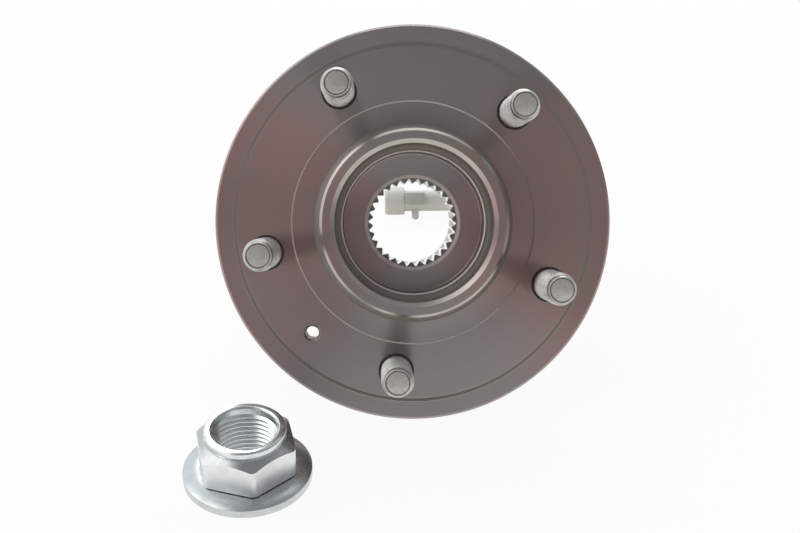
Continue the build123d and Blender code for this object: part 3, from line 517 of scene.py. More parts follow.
def about_the_hub(tree):
    """Object coordinates, the same with the hub axis turned upright, the radius about that
    axis, and how far across the hub a place lies, as a share of its radius."""
    place = add_node(tree, "ShaderNodeTexCoord").outputs["Object"]
    upright = add_node(
        tree, "ShaderNodeMapping", {"Vector": place, "Rotation": (hub_tilt - pi / 2, 0, 0)}
    ).outputs["Vector"]
    flat = add_node(
        tree, "ShaderNodeVectorMath", {0: upright, 1: (1, 1, 0)}, operation="MULTIPLY"
    ).outputs[0]
    radius = add_node(
        tree, "ShaderNodeVectorMath", {0: flat}, operation="LENGTH"
    ).outputs["Value"]
    side = add_node(tree, "ShaderNodeSeparateXYZ", {"Vector": upright}).outputs["X"]
    across = add_node(
        tree, "ShaderNodeMath", {0: side, 1: radius}, operation="DIVIDE"
    ).outputs[0]
    return place, upright, radius, across


# ------------------------------------------------------------------ materials
def turned_steel():
    """Forging steel, face turned: fine rings about the axis draw each reflection out radially,
    and a painted reflection tints it towards brown at the hub's left and right sides."""
    colours = settings().colours
    material, tree = new_material("turned_steel")
    place, upright, radius, across = about_the_hub(tree)
    side = add_node(tree, "ShaderNodeMath", {0: across}, operation="ABSOLUTE").outputs[0]
    cloud = add_node(
        tree, "ShaderNodeTexNoise", {"Vector": upright, "Scale": repeats(45.45), "Detail": 2.0}
    ).outputs["Fac"]
    side = add_node(tree, "ShaderNodeMath", {0: side, 1: cloud}, operation="ADD").outputs[0]
    # Painted reflection: a brown tint at the hub's left and right sides, with a ragged edge.
    steel = graded(tree, side, 0.95, 1.45, colours.steel, colours.steel_reflection_tint)
    # uneven tool marks, drawn as wide as they need to be to show
    marks = add_node(
        tree, "ShaderNodeTexNoise", {"W": radius, "Scale": repeats(0.3846), "Detail": 3.0},
        noise_dimensions="1D",
    ).outputs["Fac"]
    steel = graded(tree, marks, 0.3, 0.7, steel, (0.02, 0.02, 0.02), 0.09)
    radial = add_node(
        tree, "ShaderNodeVectorMath", {0: tuple(hub_axis), 1: place}, operation="CROSS_PRODUCT"
    ).outputs[0]
    radial = add_node(
        tree, "ShaderNodeVectorMath", {0: radial, 1: tuple(hub_axis)}, operation="CROSS_PRODUCT"
    ).outputs[0]
    radial = add_node(
        tree, "ShaderNodeVectorMath", {0: radial}, operation="NORMALIZE"
    ).outputs[0]
    relief = add_node(tree, "ShaderNodeBump", {"Height": marks, "Distance": 0.002 * MM})
    coat(tree, {
        "Base Color": steel, "Metallic": 1.0, "Roughness": 0.34, "Anisotropic": 0.85,
        "Tangent": radial, "Normal": relief.outputs[0],
    })
    return material


def steel_shaded_across(name, base, right_side_shade, roughness, from_left, to_right, metallic=1.0):
    """Machined steel about the hub axis, with faint clouds. It goes from its base colour to a
    second one between two places across the hub, given as shares of the radius: painted light
    and shade that change from the left side to the right."""
    material, tree = new_material(name)
    _, upright, _, across = about_the_hub(tree)
    cloud = add_node(
        tree, "ShaderNodeTexNoise", {"Vector": upright, "Scale": repeats(16.67), "Detail": 3.0}
    ).outputs["Fac"]
    worn = graded(tree, cloud, 0.3, 0.7, base, shaded(0.6, base), 0.3)
    # Painted light and shade: the colour changes across the hub from left to right.
    steel = graded(tree, across, from_left, to_right, worn, right_side_shade)
    coat(tree, {"Base Color": steel, "Metallic": metallic, "Roughness": roughness})
    return material


def cut_edge():
    """Steel cut by a chamfering tool: a bright band, with painted shade that darkens it to the right."""
    colours = settings().colours
    right_side_shade = shaded(0.6, colours.steel_reflection_tint)
    return steel_shaded_across("cut_edge", colours.chamfer, right_side_shade, 0.34, 0.65, 1.05)


def painted_highlight_line():
    """A painted highlight on the inner edge of the disc's seat: a thin pale line all round, not
    metallic so that it shows bright, with painted shade to the right.
    """
    colours = settings().colours
    return steel_shaded_across("painted_highlight_line", colours.line, colours.dark, 0.6, 0.55, 0.98, metallic=0.0)


def painted_shade_step():
    """Painted shade on turned steel in recesses, corners and the stud holes: dark, without
    glints, and darker still to the right.
    """
    dark = settings().colours.dark
    return steel_shaded_across("painted_shade_step", dark, shaded(0.75, dark), 0.5, 0.2, 1.2, metallic=0.1)


def painted_groove_shadow():
    """Painted shadow in the shallow groove round the disc's seat: darkest at the left, lighter
    towards the right.
    """
    dark = settings().colours.dark
    low, high = shaded(0.68, dark), shaded(0.9, dark)
    return steel_shaded_across("painted_groove_shadow", low, high, 0.6, -0.2, 1.0, metallic=0.1)


def bore_mouth():
    """The chamfer at the mouth of the bore: a pale ring, barely metallic, as a painted highlight."""
    line = settings().colours.line
    return steel_shaded_across("bore_mouth", line, line, 0.5, 0.0, 1.0, metallic=0.15)


def broached():
    """The spline's broached walls: drawn smooth along the bore, so they mirror at a glance."""
    tooth = settings().colours.tooth
    return steel_shaded_across("broached", tooth, tooth, 0.12, 0.0, 1.0)


def plated(name, base, roughness, grain, spot, mottle=0.55, depth=0.003):
    """Zinc plating on steel: a soft metal with fine grain, and duller spots where it is handled.
    grain and spot are the sizes of those patterns, and depth the grain's, in millimetres."""
    material, tree = new_material(name)
    place = add_node(tree, "ShaderNodeTexCoord").outputs["Object"]
    fine = add_node(
        tree, "ShaderNodeTexNoise", {"Vector": place, "Scale": repeats(grain), "Detail": 3.0}
    ).outputs["Fac"]
    wide = add_node(
        tree, "ShaderNodeTexNoise",
        {"Vector": place, "Scale": repeats(spot), "Detail": 4.0, "Roughness": 0.6},
    ).outputs["Fac"]
    zinc = graded(tree, wide, 0.35, 0.72, base, shaded(0.62, base), mottle)
    zinc = graded(tree, fine, 0.3, 0.75, zinc, shaded(0.4, base), 0.4 * mottle)
    matt = add_node(
        tree, "ShaderNodeMapRange",
        {
            "Value": wide, "From Min": 0.3, "From Max": 0.75,
            "To Min": roughness, "To Max": roughness + 0.16,
        },
        interpolation_type="SMOOTHSTEP",
    )
    relief = add_node(tree, "ShaderNodeBump", {"Height": fine, "Distance": depth * MM})
    coat(tree, {
        "Base Color": zinc, "Metallic": 1.0, "Roughness": matt.outputs["Result"],
        "Normal": relief.outputs[0],
    })
    return material


def machined(name, base, roughness, spot):
    """Machined or rolled metal: even, with soft clouds whose size is given in millimetres."""
    material, tree = new_material(name)
    place = add_node(tree, "ShaderNodeTexCoord").outputs["Object"]
    cloud = add_node(
        tree, "ShaderNodeTexNoise", {"Vector": place, "Scale": repeats(spot), "Detail": 4.0}
    ).outputs["Fac"]
    metal = graded(tree, cloud, 0.3, 0.7, base, shaded(0.55, base), 0.3)
    relief = add_node(tree, "ShaderNodeBump", {"Height": cloud, "Distance": 0.004 * MM})
    coat(tree, {
        "Base Color": metal, "Metallic": 1.0, "Roughness": roughness,
        "Normal": relief.outputs[0],
    })
    return material


def moulded(name, base, roughness, grain, depth, clear=0.0):
    """Moulded plastic or rubber: a spark-eroded grain, of a width and depth in millimetres, and
    a slightly uneven tone. A clear one lets some light into its skin."""
    material, tree = new_material(name)
    place = add_node(tree, "ShaderNodeTexCoord").outputs["Object"]
    fine = add_node(
        tree, "ShaderNodeTexNoise", {"Vector": place, "Scale": repeats(grain), "Detail": 2.0}
    ).outputs["Fac"]
    wide = add_node(
        tree, "ShaderNodeTexNoise", {"Vector": place, "Scale": repeats(11.11), "Detail": 2.0}
    ).outputs["Fac"]
    skin = graded(tree, wide, 0.3, 0.7, base, shaded(0.72, base), 0.16)
    relief = add_node(tree, "ShaderNodeBump", {"Height": fine, "Distance": depth * MM})
    coat(tree, {
        "Base Color": skin, "Roughness": roughness, "IOR": 1.5, "Normal": relief.outputs[0],
        "Subsurface Weight": clear, "Subsurface Radius": (2 * MM, 2 * MM, 1.5 * MM),
    })
    return material


# ------------------------------------------------------------------ operators
class MakeCamera(bpy.types.Operator):
    """Stands the camera in front of the wheel face and above it"""

    bl_idname = "wheel_hub.make_camera"
    bl_label = "Camera"

    def execute(self, context):
        place = settings().camera
        data = bpy.data.cameras.new("camera")
        data.sensor_width = 36
        data.lens = place.lens
        data.clip_start = 0.01
        data.clip_end = 100
        camera = bpy.data.objects.new("camera", data)
        context.scene.collection.objects.link(camera)
        turn_about = Matrix.Rotation(place.heading, 3, "Z")
        forward = turn_about @ Vector((0, cos(place.elevation), -sin(place.elevation)))
        right = turn_about @ Vector((1, 0, 0))
        up = right.cross(forward)
        rotation = Matrix((right, up, -forward)).transposed()
        stand = Vector(place.aim) - forward * place.distance
        camera.matrix_world = Matrix.Translation(stand) @ rotation.to_4x4()
        context.scene.camera = camera
        return {"FINISHED"}


# The lead's route in metres, from the strain relief round behind the hub to the boot.
LEAD_ROUTE = [
    (-0.0564, 0.054379, -0.03081),
    (-0.0564, 0.066559, -0.037711),
    (-0.057, 0.083, -0.04961),
    (-0.059, 0.0995, -0.05981),
    (-0.061, 0.1175, -0.06871),
    (-0.0625, 0.137, -0.06871),
    (-0.059, 0.157, -0.06871),
    (-0.05, 0.175, -0.06871),
    (-0.0335, 0.1895, -0.06871),
    (-0.012, 0.198, -0.06871),
    (0.012, 0.2005, -0.06871),
    (0.0345, 0.1985, -0.06871),
    (0.0535, 0.193, -0.06871),
    (0.0675, 0.183, -0.06871),
    (0.074, 0.168, -0.06871),
    (0.072, 0.1525, -0.06841),
    (0.0625, 0.1396, -0.06671),
    (0.0462, 0.1332, -0.06451),
    (0.0302, 0.1332, -0.06451),
]


class MakeLead(bpy.types.Operator):
    """Lays the sensor lead in one loop behind the hub"""

    bl_idname = "wheel_hub.make_lead"
    bl_label = "Sensor lead"

    def execute(self, context):
        radius = settings().connector.lead_radius
        curve = bpy.data.curves.new("lead", "CURVE")
        curve.dimensions = "3D"
        curve.bevel_depth = radius
        curve.bevel_resolution = 6
        curve.use_fill_caps = True
        spline = curve.splines.new("NURBS")
        spline.points.add(len(LEAD_ROUTE) - 1)
        for point, place in zip(spline.points, LEAD_ROUTE):
            point.co = (*place, 1.0)
        spline.order_u = 3
        spline.use_endpoint_u = True
        spline.resolution_u = 8
        curve.materials.append(
            moulded("lead_jacket", settings().colours.rubber, 0.5, grain=0.25, depth=0.02)
        )
        lead = bpy.data.objects.new("lead", curve)
        context.scene.collection.objects.link(lead)
        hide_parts("sensor_lead")
        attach(lead, "outer")
        return {"FINISHED"}


class MakeHub(bpy.types.Operator):
    """Models the hub forging: its faces, spigot, nut recess, splined bore and stud holes"""

    bl_idname = "wheel_hub.make_hub"
    bl_label = "Wheel hub"

    def execute(self, context):
        hub, spline = settings().hub, settings().spline
        face = -hub.relief
        inner_low = hub.spigot_height - hub.chamfer_slope * hub.inner_chamfer
        outer_low = hub.spigot_height - hub.outer_chamfer
        pilot_top = hub.pilot_height + hub.pilot_rise
        bm = turned(
            288,
            (hub.bore_radius + hub.bore_chamfer, hub.nut_seat),
            (hub.recess_radius, hub.nut_seat, hub.recess_fillet),
            (hub.recess_radius, hub.shelf_height - hub.recess_edge),
            (hub.recess_radius + hub.recess_edge, hub.shelf_height),
            (hub.spigot_bore, hub.shelf_height, hub.shelf_fillet),
            (hub.spigot_bore, inner_low),
            (hub.spigot_bore + hub.inner_chamfer, hub.spigot_height),
            (hub.spigot_radius - hub.outer_chamfer, hub.spigot_height),
            (hub.spigot_radius, outer_low),
            (hub.spigot_radius, pilot_top),
            (hub.pilot_radius, hub.pilot_height),
            (hub.pilot_radius, face, hub.pilot_fillet),
            (hub.seat_inner - hub.relief, face),
            (hub.seat_inner, 0),
            (hub.seat_outer, 0, hub.seat_round),
            (hub.seat_outer + hub.step_width, face - hub.groove_depth, hub.seat_round),
            (hub.seat_outer + hub.groove_width, face, hub.seat_round),
            (hub.flange_radius - hub.rim_chamfer, face),
            (hub.flange_radius, face - hub.rim_chamfer),
            (hub.flange_radius, hub.flange_back + hub.rim_chamfer),
            (hub.flange_radius - hub.rim_chamfer, hub.flange_back),
            (hub.root_radius, hub.flange_back),
            (hub.root_radius - hub.root_step, hub.flange_back - hub.root_step),
            (hub.barrel_radius, hub.flange_back - hub.root_step, hub.root_fillet),
            *self.ball_groove(hub),
            (hub.land_radius, hub.land_end),
            (hub.tail_radius, hub.land_end),
            (hub.tail_radius, hub.barrel_end + hub.tail_chamfer),
            (hub.tail_radius - hub.tail_chamfer, hub.barrel_end),
            (hub.bore_radius + hub.bore_chamfer, hub.barrel_end),
            (hub.bore_radius, hub.barrel_end + hub.bore_chamfer),
            (hub.bore_radius, hub.nut_seat - hub.bore_chamfer),
        )
        edge, step, line, mouth, tooth, groove = range(1, 7)
        wall_top = hub.shelf_height - hub.recess_edge - 0.1 * MM
        # Painted light and shade: the line and mouth slots are painted highlights, the step and groove slots
        # painted shade, and the edge slot grows darker to the right.
        for slot, inner, outer, low, high in (
            (line, hub.seat_inner - hub.relief, hub.seat_inner, face, 0),
            (groove, hub.seat_outer, hub.seat_outer + hub.step_width, 2 * face, -2 * NEAR),
            (edge, hub.spigot_radius - hub.outer_chamfer, hub.spigot_radius,
             outer_low, hub.spigot_height),
            (edge, hub.spigot_bore, hub.spigot_bore + hub.inner_chamfer,
             inner_low, hub.spigot_height),
            (step, hub.recess_radius + hub.recess_edge + 0.1 * MM, hub.spigot_bore + NEAR,
             hub.shelf_height - 0.1 * MM, inner_low),
            (mouth, hub.recess_radius, hub.recess_radius + hub.recess_edge,
             wall_top, hub.shelf_height),
            (step, hub.recess_radius - NEAR, hub.recess_radius + NEAR,
             hub.nut_seat + NEAR, wall_top),
            (mouth, hub.bore_radius, hub.bore_radius + hub.bore_chamfer,
             hub.nut_seat - hub.bore_chamfer, hub.nut_seat),
            (step, hub.spigot_radius + NEAR, hub.pilot_radius + hub.pilot_fillet,
             face, pilot_top + 0.2 * MM),
        ):
            paint(bm, slot, inner, outer, low, high)
        materials = [
            turned_steel(), cut_edge(), painted_shade_step(), painted_highlight_line(), bore_mouth(), broached(),
            painted_groove_shadow(),
        ]
        piece = loose(bm, "hub_forging", materials)
        cut(piece, loose(self.stud_holes(hub, step), "stud_holes", materials))
        bm = bmesh.new()
        bm.from_mesh(piece.data)
        sleeve = self.spline_sleeve(spline, hub)
        for tooth_face in sleeve.faces:
            # Painted shade on the teeth's end faces; the walls keep the broached steel.
            tooth_face.material_index = tooth if abs(tooth_face.normal.z) < 0.5 else step
        join(bm, sleeve)
        bm.to_mesh(piece.data)
        bm.free()
        finish_piece(piece, "hub", "wheel_hub", HUB_FRAME)
        return {"FINISHED"}

    def ball_groove(self, hub):
        """Corners of the outboard ball groove, from the shoulder round to the land."""
        start = pi - acos((hub.pitch_radius - hub.barrel_radius) / hub.ball_groove)
        end = pi + acos((hub.pitch_radius - hub.land_radius) / hub.ball_groove)
        steps = 10
        bends = [start + index * (end - start) / steps for index in range(steps + 1)]
        return [
            (hub.pitch_radius + hub.ball_groove * cos(bend),
             hub.row_height + hub.ball_groove * sin(bend))
            for bend in bends
        ]

    def spline_sleeve(self, spline, hub):
        """The toothed stretch of the bore, as a sleeve whose outside lies in the metal."""
        bm = bmesh.new()
        outline = []
        half_mouth = spline.mouth / 2 / spline.minor
        half_root = spline.root / 2 / spline.major
        for space in range(spline.teeth):
            middle = spline.phase + space * 2 * pi / spline.teeth
            for radius, offset in (
                (spline.minor, -half_mouth), (spline.major, -half_root),
                (spline.major, half_root), (spline.minor, half_mouth),
            ):
                spot = (radius * cos(middle + offset), radius * sin(middle + offset), spline.front)
                outline.append(bm.verts.new(spot))
        edges = [bm.edges.new((a, b)) for a, b in zip(outline, outline[1:] + outline[:1])]
        outer = bmesh.ops.create_circle(
            bm, segments=120, radius=hub.bore_radius + 0.5 * MM,
            matrix=Matrix.Translation((0, 0, spline.front)),
        )["verts"]
        edges += list({e for v in outer for e in v.link_edges})
        bmesh.ops.triangle_fill(bm, edges=edges, use_beauty=True, normal=(0, 0, 1))
        back = bmesh.ops.extrude_face_region(bm, geom=bm.faces[:])["geom"]
        moved = [v for v in back if isinstance(v, bmesh.types.BMVert)]
        bmesh.ops.translate(bm, verts=moved, vec=(0, 0, -spline.length))
        for vert in bm.verts:
            if vert.co.xy.length < spline.minor + 0.1 * MM:
                inward = 1 if vert.co.z < spline.front - spline.length / 2 else -1
                vert.co.z += inward * spline.lead_in
        bmesh.ops.recalc_face_normals(bm, faces=bm.faces[:])
        return bm

    def stud_holes(self, hub, slot):
        """Solids that cut the stud holes with their counterbores, and the disc screw's hole.
        The slot is the material of the walls that the stud holes leave: painted shade."""
        stud = settings().stud
        proud = 0.3 * MM
        hole_radius, hole_back = stud.shank + 2 * NEAR, hub.flange_back - 8 * MM
        holes = bmesh.new()
        for index in range(STUD_COUNT):
            hole = turned(
                48,
                (0, hole_back),
                (hole_radius, hole_back),
                (hole_radius, -stud.counterbore_depth),
                (stud.counterbore, -stud.counterbore_depth),
                (stud.counterbore, proud),
                (0, proud),
            )
            for hole_face in hole.faces:
                hole_face.material_index = slot
            join(holes, hole, at_stud(index))
        screw = turned(
            32,
            (0, hub.flange_back - 2 * MM),
            (hub.screw_radius, hub.flange_back - 2 * MM),
            (hub.screw_radius, -hub.screw_chamfer),
            (hub.screw_radius + hub.screw_chamfer + proud, proud),
            (0, proud),
        )
        join(holes, screw, at_stud(STUD_COUNT / 2))
        return holes


class MakeStuds(bpy.types.Operator):
    """Models the five wheel studs with their heads, threads and points"""

    bl_idname = "wheel_hub.make_studs"
    bl_label = "Wheel studs"

    def execute(self, context):
        stud, colours, hub = settings().stud, settings().colours, settings().hub
        zinc = plated("stud_zinc", colours.stud, 0.36, grain=0.35, spot=4.0)
        tip = plated("stud_tip", colours.stud_tip, 0.4, grain=0.5, spot=2.5)
        # Painted shade: a darker copy of the plating for the narrow groove round the tip's flat.
        tip_groove_shade = plated("stud_groove_shade", shaded(0.4, colours.stud), 0.5, grain=0.5, spot=2.5)
        point = stud.length - stud.dog_length
        core = STUD_RADIUS - 0.55 * stud.pitch
        thread_low = stud.thread_start
        thread_high = point - stud.taper - 0.4 * MM
        head_low, head_edge = hub.flange_back - stud.head, 0.4 * MM
        tip_radius = stud.dog_radius - stud.tip_chamfer
        seam_width = 0.35 * MM
        for index in range(STUD_COUNT):
            bm = turned(
                64,
                (0, head_low),
                (stud.head_radius - head_edge, head_low),
                (stud.head_radius, head_low + head_edge),
                (stud.head_radius, hub.flange_back),
                (stud.shank, hub.flange_back),
                (stud.shank, -stud.counterbore_depth),
                (STUD_RADIUS, 0.4 * MM - stud.counterbore_depth),
                (STUD_RADIUS, thread_low),
                (core, thread_low),
                (core, thread_high),
                (STUD_RADIUS, thread_high),
                (STUD_RADIUS, point - stud.taper),
                (stud.dog_radius, point),
                (stud.dog_radius, stud.length - stud.tip_chamfer, 0.35 * MM),
                (tip_radius + 0.25 * MM, stud.length, 0.2 * MM),
                (tip_radius, stud.length - seam_width),
                (tip_radius - seam_width, stud.length - stud.dimple),
                (0, stud.length - stud.dimple),
            )
            tip_low, seam_low = stud.length - 0.6 * MM, stud.length - 0.4 * MM
            paint(bm, 1, 0, tip_radius - seam_width, tip_low, stud.length)
            # Painted shade in the groove round the tip's flat.
            paint(bm, 2, tip_radius - seam_width, tip_radius + NEAR, seam_low, stud.length)
            thread = helix(
                core + 0.05 * MM, STUD_RADIUS, stud.pitch, thread_low - 0.7 * stud.pitch,
                thread_high + 1.2 * stud.pitch, steps=48,
            )
            join(bm, thread)
            piece = loose(bm, f"stud_{index + 1}", [zinc, tip, tip_groove_shade])
            finish_piece(
                piece, "hub", f"wheel_stud_{index + 1}", HUB_FRAME @ at_stud(index)
            )
        return {"FINISHED"}


class MakeNut(bpy.types.Operator):
    """Models the axle nut: hexagon, crown, staking collar, skirt and inner thread"""

    bl_idname = "wheel_hub.make_nut"
    bl_label = "Axle nut"

    def execute(self, context):
        nut, colours = settings().nut, settings().colours
        # Lit and shaded copies of the same zinc: the upright flats painted lighter and the crown's slope painted
        # darker, as painted light and shade.
        white = [0.5 * (1 + channel) for channel in colours.zinc]
        zinc = plated("nut_zinc", colours.zinc, 0.14, 0.6, 5.0, mottle=0.15, depth=0.001)
        flats = plated("nut_flats", white, 0.34, 0.6, 5.0, mottle=0.12, depth=0.004)
        cone = plated(
            "nut_cone", shaded(0.62, white), 0.16, 0.6, 4.0, mottle=0.2, depth=0.001
        )
        corner = nut.across_flats / 2 / cos(pi / 6)
        blank = bmesh.new()
        bmesh.ops.create_cone(
            blank, cap_ends=True, segments=6, radius1=corner, radius2=corner,
            depth=nut.top - nut.bottom,
            matrix=Matrix.Translation((0, 0, (nut.top + nut.bottom) / 2))
            @ Matrix.Rotation(nut.corner_angle + pi / 2, 4, "Z"),
        )
        uprights = [e for e in blank.edges if abs(e.verts[0].co.z - e.verts[1].co.z) > NEAR]
        bevel(blank, uprights, nut.corner_round, 4)
        bottom = [e for e in blank.edges if all(v.co.z < nut.bottom + NEAR for v in e.verts)]
        bevel(blank, bottom, 0.3 * MM, 2)
        spare = 1 * MM
        drop = (corner + spare - nut.collar_radius) * tan(nut.crown)
        crown = turned(
            192,
            (nut.thread_major, nut.bottom - spare),
            (corner + spare, nut.bottom - spare),
            (corner + spare, nut.top - drop),
            (nut.collar_radius, nut.top),
            (nut.thread_major, nut.top),
        )
        piece = loose(blank, "nut", [zinc, flats, cone])
        cut(piece, loose(crown, "crown", [cone]), "INTERSECT")
        bm = bmesh.new()
        bm.from_mesh(piece.data)
        # Painted light and shade: upright faces take the lighter copy and the crown's upward slope the darker one.
        for face in bm.faces:
            if abs(face.normal.z) < 0.1:
                face.material_index = 1
            elif face.normal.z > 0.1 and face.calc_center_median().z < nut.top - NEAR:
                face.material_index = 2
        low = nut.skirt_bottom
        wall = nut.thread_major + 2 * NEAR
        core = turned(
            192,
            (nut.thread_major, low),
            (nut.skirt_radius + nut.flare, low),
            (nut.skirt_radius + nut.flare, low + 1.3 * MM),
            (nut.skirt_radius, low + 1.3 * MM + nut.flare),
            (nut.skirt_radius, nut.top - 1.5 * MM),
            (nut.collar_radius - nut.groove, nut.top - 1.4 * MM),
            (nut.collar_radius - nut.groove, nut.top + 0.6 * MM),
            (nut.collar_radius, nut.top + 0.9 * MM, 0.2 * MM),
            (nut.collar_radius, nut.collar_height - 0.5 * MM, 0.3 * MM),
            (nut.collar_radius - nut.collar_edge, nut.collar_height, 0.2 * MM),
            (nut.thread_major + 0.55 * MM, nut.collar_height, 0.3 * MM),
            (wall, nut.collar_height - 0.7 * MM),
            (wall, low + 0.2 * MM),
        )
        join(bm, core)
        thread_top = nut.collar_height - nut.mouth_depth + 0.6 * nut.thread_pitch
        thread = helix(
            nut.thread_major + NEAR, nut.thread_minor, nut.thread_pitch, low, thread_top,
            steps=96,
        )
        bmesh.ops.reverse_faces(thread, faces=thread.faces[:])
        join(bm, thread)
        bm.to_mesh(piece.data)
        bm.free()
        finish_piece(piece, "nut", "axle_nut", NUT_FRAME)
        return {"FINISHED"}


class MakeWasher(bpy.types.Operator):
    """Models the conical washer under the nut"""

    bl_idname = "wheel_hub.make_washer"
    bl_label = "Nut washer"

    def execute(self, context):
        nut = settings().nut
        pale = shaded(0.8, settings().colours.zinc)
        zinc = plated("washer_zinc", pale, 0.2, 0.7, 6.0, mottle=0.3, depth=0.001)
        pocket_radius = nut.washer_bore + nut.flare
        bm = turned(
            192,
            (pocket_radius, 0),
            (nut.washer_radius - 0.4 * MM, 0),
            (nut.washer_radius, 0.4 * MM),
            (nut.washer_radius, nut.washer_rim, 0.15 * MM),
            (nut.washer_crown, nut.washer_top, nut.washer_round),
            (nut.washer_bore, nut.washer_top, 0.2 * MM),
            (nut.washer_bore, nut.pocket + nut.flare),
            (pocket_radius, nut.pocket),
        )
        piece = loose(bm, "washer", [zinc])
        finish_piece(piece, "washer", "nut_washer", NUT_FRAME)
        return {"FINISHED"}


# The boot's outline in millimetres: radius, distance behind the connector's body and, where a
# corner is rounded, how much is cut off both its sides.
BOOT_OUTLINE = [
    (0, -1), (3.75, -1), (3.75, 0), (4.3, 0, 0.3), (4.1, 1.6), (3.6, 2.0), (3.6, 2.8), (3.9, 3.1),
    (3.7, 4.6), (3.2, 5.0), (3.2, 7.0, 0.3), (0, 7.0),
]


class MakeConnector(bpy.types.Operator):
    """Models the connector's shell, lock and boot"""

    bl_idname = "wheel_hub.make_connector"
    bl_label = "Connector"

    def execute(self, context):
        plug, colours = settings().connector, settings().colours
        pale = moulded("connector_nylon", colours.shell, 0.45, 0.3, 0.01, clear=0.2)
        grey = moulded("lock_nylon", colours.lock, 0.4, 0.3, 0.01)
        soft = moulded("boot_rubber", colours.boot, 0.6, 0.3, 0.02)
        end = plug.collar_length + plug.body_length
        bm = turned(
            96,
            (0, plug.socket_depth),
            (plug.socket_radius, plug.socket_depth),
            (plug.socket_radius, 0, 0.25 * MM),
            (plug.collar_radius, 0, 2 * plug.edge),
            (plug.collar_radius, plug.collar_length, plug.edge),
            (plug.body_radius, plug.collar_length, 0.3 * MM),
            (plug.body_radius, end, 0.3 * MM),
            (0, end),
        )
        join(bm, self.block(plug, 0, plug.lock_bottom, 1.2 * MM, 0.8 * MM, 0.2 * MM))
        join(bm, self.tab(plug))
        shell = loose(bm, "connector", [pale])
        finish_piece(shell, "outer", "connector_shell", CONNECTOR_FRAME)
        block = self.block(plug, plug.lock_bottom, plug.lock_top, 0, 0, 0.3 * MM)
        lock = loose(block, "lock", [grey])
        finish_piece(lock, "outer", "connector_lock", CONNECTOR_FRAME)
        outline = [
            (radius * MM, end + behind * MM, *(cut_off * MM for cut_off in rounding))
            for radius, behind, *rounding in BOOT_OUTLINE
        ]
        boot = loose(turned(64, *outline), "boot", [soft])
        finish_piece(boot, "outer", "connector_boot", CONNECTOR_FRAME)
        return {"FINISHED"}

    def block(self, plug, low, high, wider, longer, rounding):
        """A rounded box at the lock's place, between two heights, and wider and longer than the
        lock by the lengths given."""
        middle = ((low + high) / 2, 0, plug.lock_start + plug.lock_length / 2)
        sides = (high - low, plug.lock_width + wider, plug.lock_length + longer)
        bm = bmesh.new()
        bmesh.ops.create_cube(
            bm, size=1, matrix=Matrix.Translation(middle) @ Matrix.Diagonal((*sides, 1))
        )
        bevel(bm, bm.edges[:], rounding, 3)
        lock_turn = Matrix.Rotation(plug.lock_angle, 4, "Z")
        bmesh.ops.transform(bm, matrix=lock_turn, verts=bm.verts[:])
        return bm

    def tab(self, plug):
        """The clip tab: a flat tongue with a round end, across the connector."""
        bm = bmesh.new()
        bmesh.ops.create_cone(
            bm, cap_ends=True, segments=32, radius1=plug.tab_radius, radius2=plug.tab_radius,
            depth=plug.tab_thickness, matrix=Matrix.Translation((plug.tab_reach, 0, 0)),
        )
        for vert in bm.verts:
            if vert.co.x < plug.tab_reach - 0.1 * MM:
                vert.co.x = 0
                vert.co.y = plug.tab_radius if vert.co.y > 0 else -plug.tab_radius
        bmesh.ops.remove_doubles(bm, verts=bm.verts[:], dist=WELD)
        lie = Matrix.Rotation(plug.tab_angle, 4, "Z") @ Matrix.Rotation(pi / 2, 4, "X")
        bmesh.ops.transform(bm, matrix=lie, verts=bm.verts[:])
        bmesh.ops.translate(bm, verts=bm.verts[:], vec=(0, 0, plug.tab_place))
        bmesh.ops.recalc_face_normals(bm, faces=bm.faces[:])
        return bm


class FinishBearing(bpy.types.Operator):
    """Gives the carried-over bearing, seal and sensor pieces their finishes"""

    bl_idname = "wheel_hub.finish_bearing"
    bl_label = "Bearing, seals and sensor"

    def execute(self, context):
        colours = settings().colours
        ring = machined("ring_steel", colours.ring, 0.38, 6.0)
        ground = machined("ground_steel", colours.ground, 0.16, 20.0)
        sheet = machined("sheet_steel", colours.sheet, 0.3, 8.0)
        iron = machined("sintered_iron", shaded(0.35, colours.ring), 0.55, 0.8)
        rubber = moulded("nitrile_rubber", colours.rubber, 0.55, 0.3, 0.02)
        nylon = moulded("cage_nylon", colours.cage, 0.5, 0.4, 0.01)
        housing = moulded("sensor_housing", colours.rubber, 0.42, 0.35, 0.02)
        brass = machined("turned_brass", colours.brass, 0.3, 3.0)
        screw = plated("screw_zinc", colours.stud, 0.3, 0.4, 3.0)
        finishes = {
            "outer_ring": ring, "inner_ring": ground, "tone_ring": iron,
            "inboard_slinger": sheet, "outboard_seal_case": sheet, "inboard_seal_case": sheet,
            "outboard_seal_lip": rubber, "inboard_seal_lip": rubber, "sensor_o_ring": rubber,
            "sensor_strain_relief": rubber, "sensor_body": housing, "sensor_bush": brass,
            "sensor_screw": screw, "connector_pins": screw, "outboard_cage": nylon,
            "inboard_cage": nylon, "outboard_balls": ground, "inboard_balls": ground,
        }
        for name, material in finishes.items():
            mesh = frame["nodes"][name].data
            mesh.materials.clear()
            mesh.materials.append(material)
        return {"FINISHED"}


def round_the_hub(azimuth, lean):
    """The direction at a turn round the hub axis and a lean away from it, in degrees."""
    outward = cos(radians(azimuth)) * Vector((1, 0, 0)) + sin(radians(azimuth)) * hub_up
    return sin(radians(lean)) * outward + cos(radians(lean)) * hub_axis


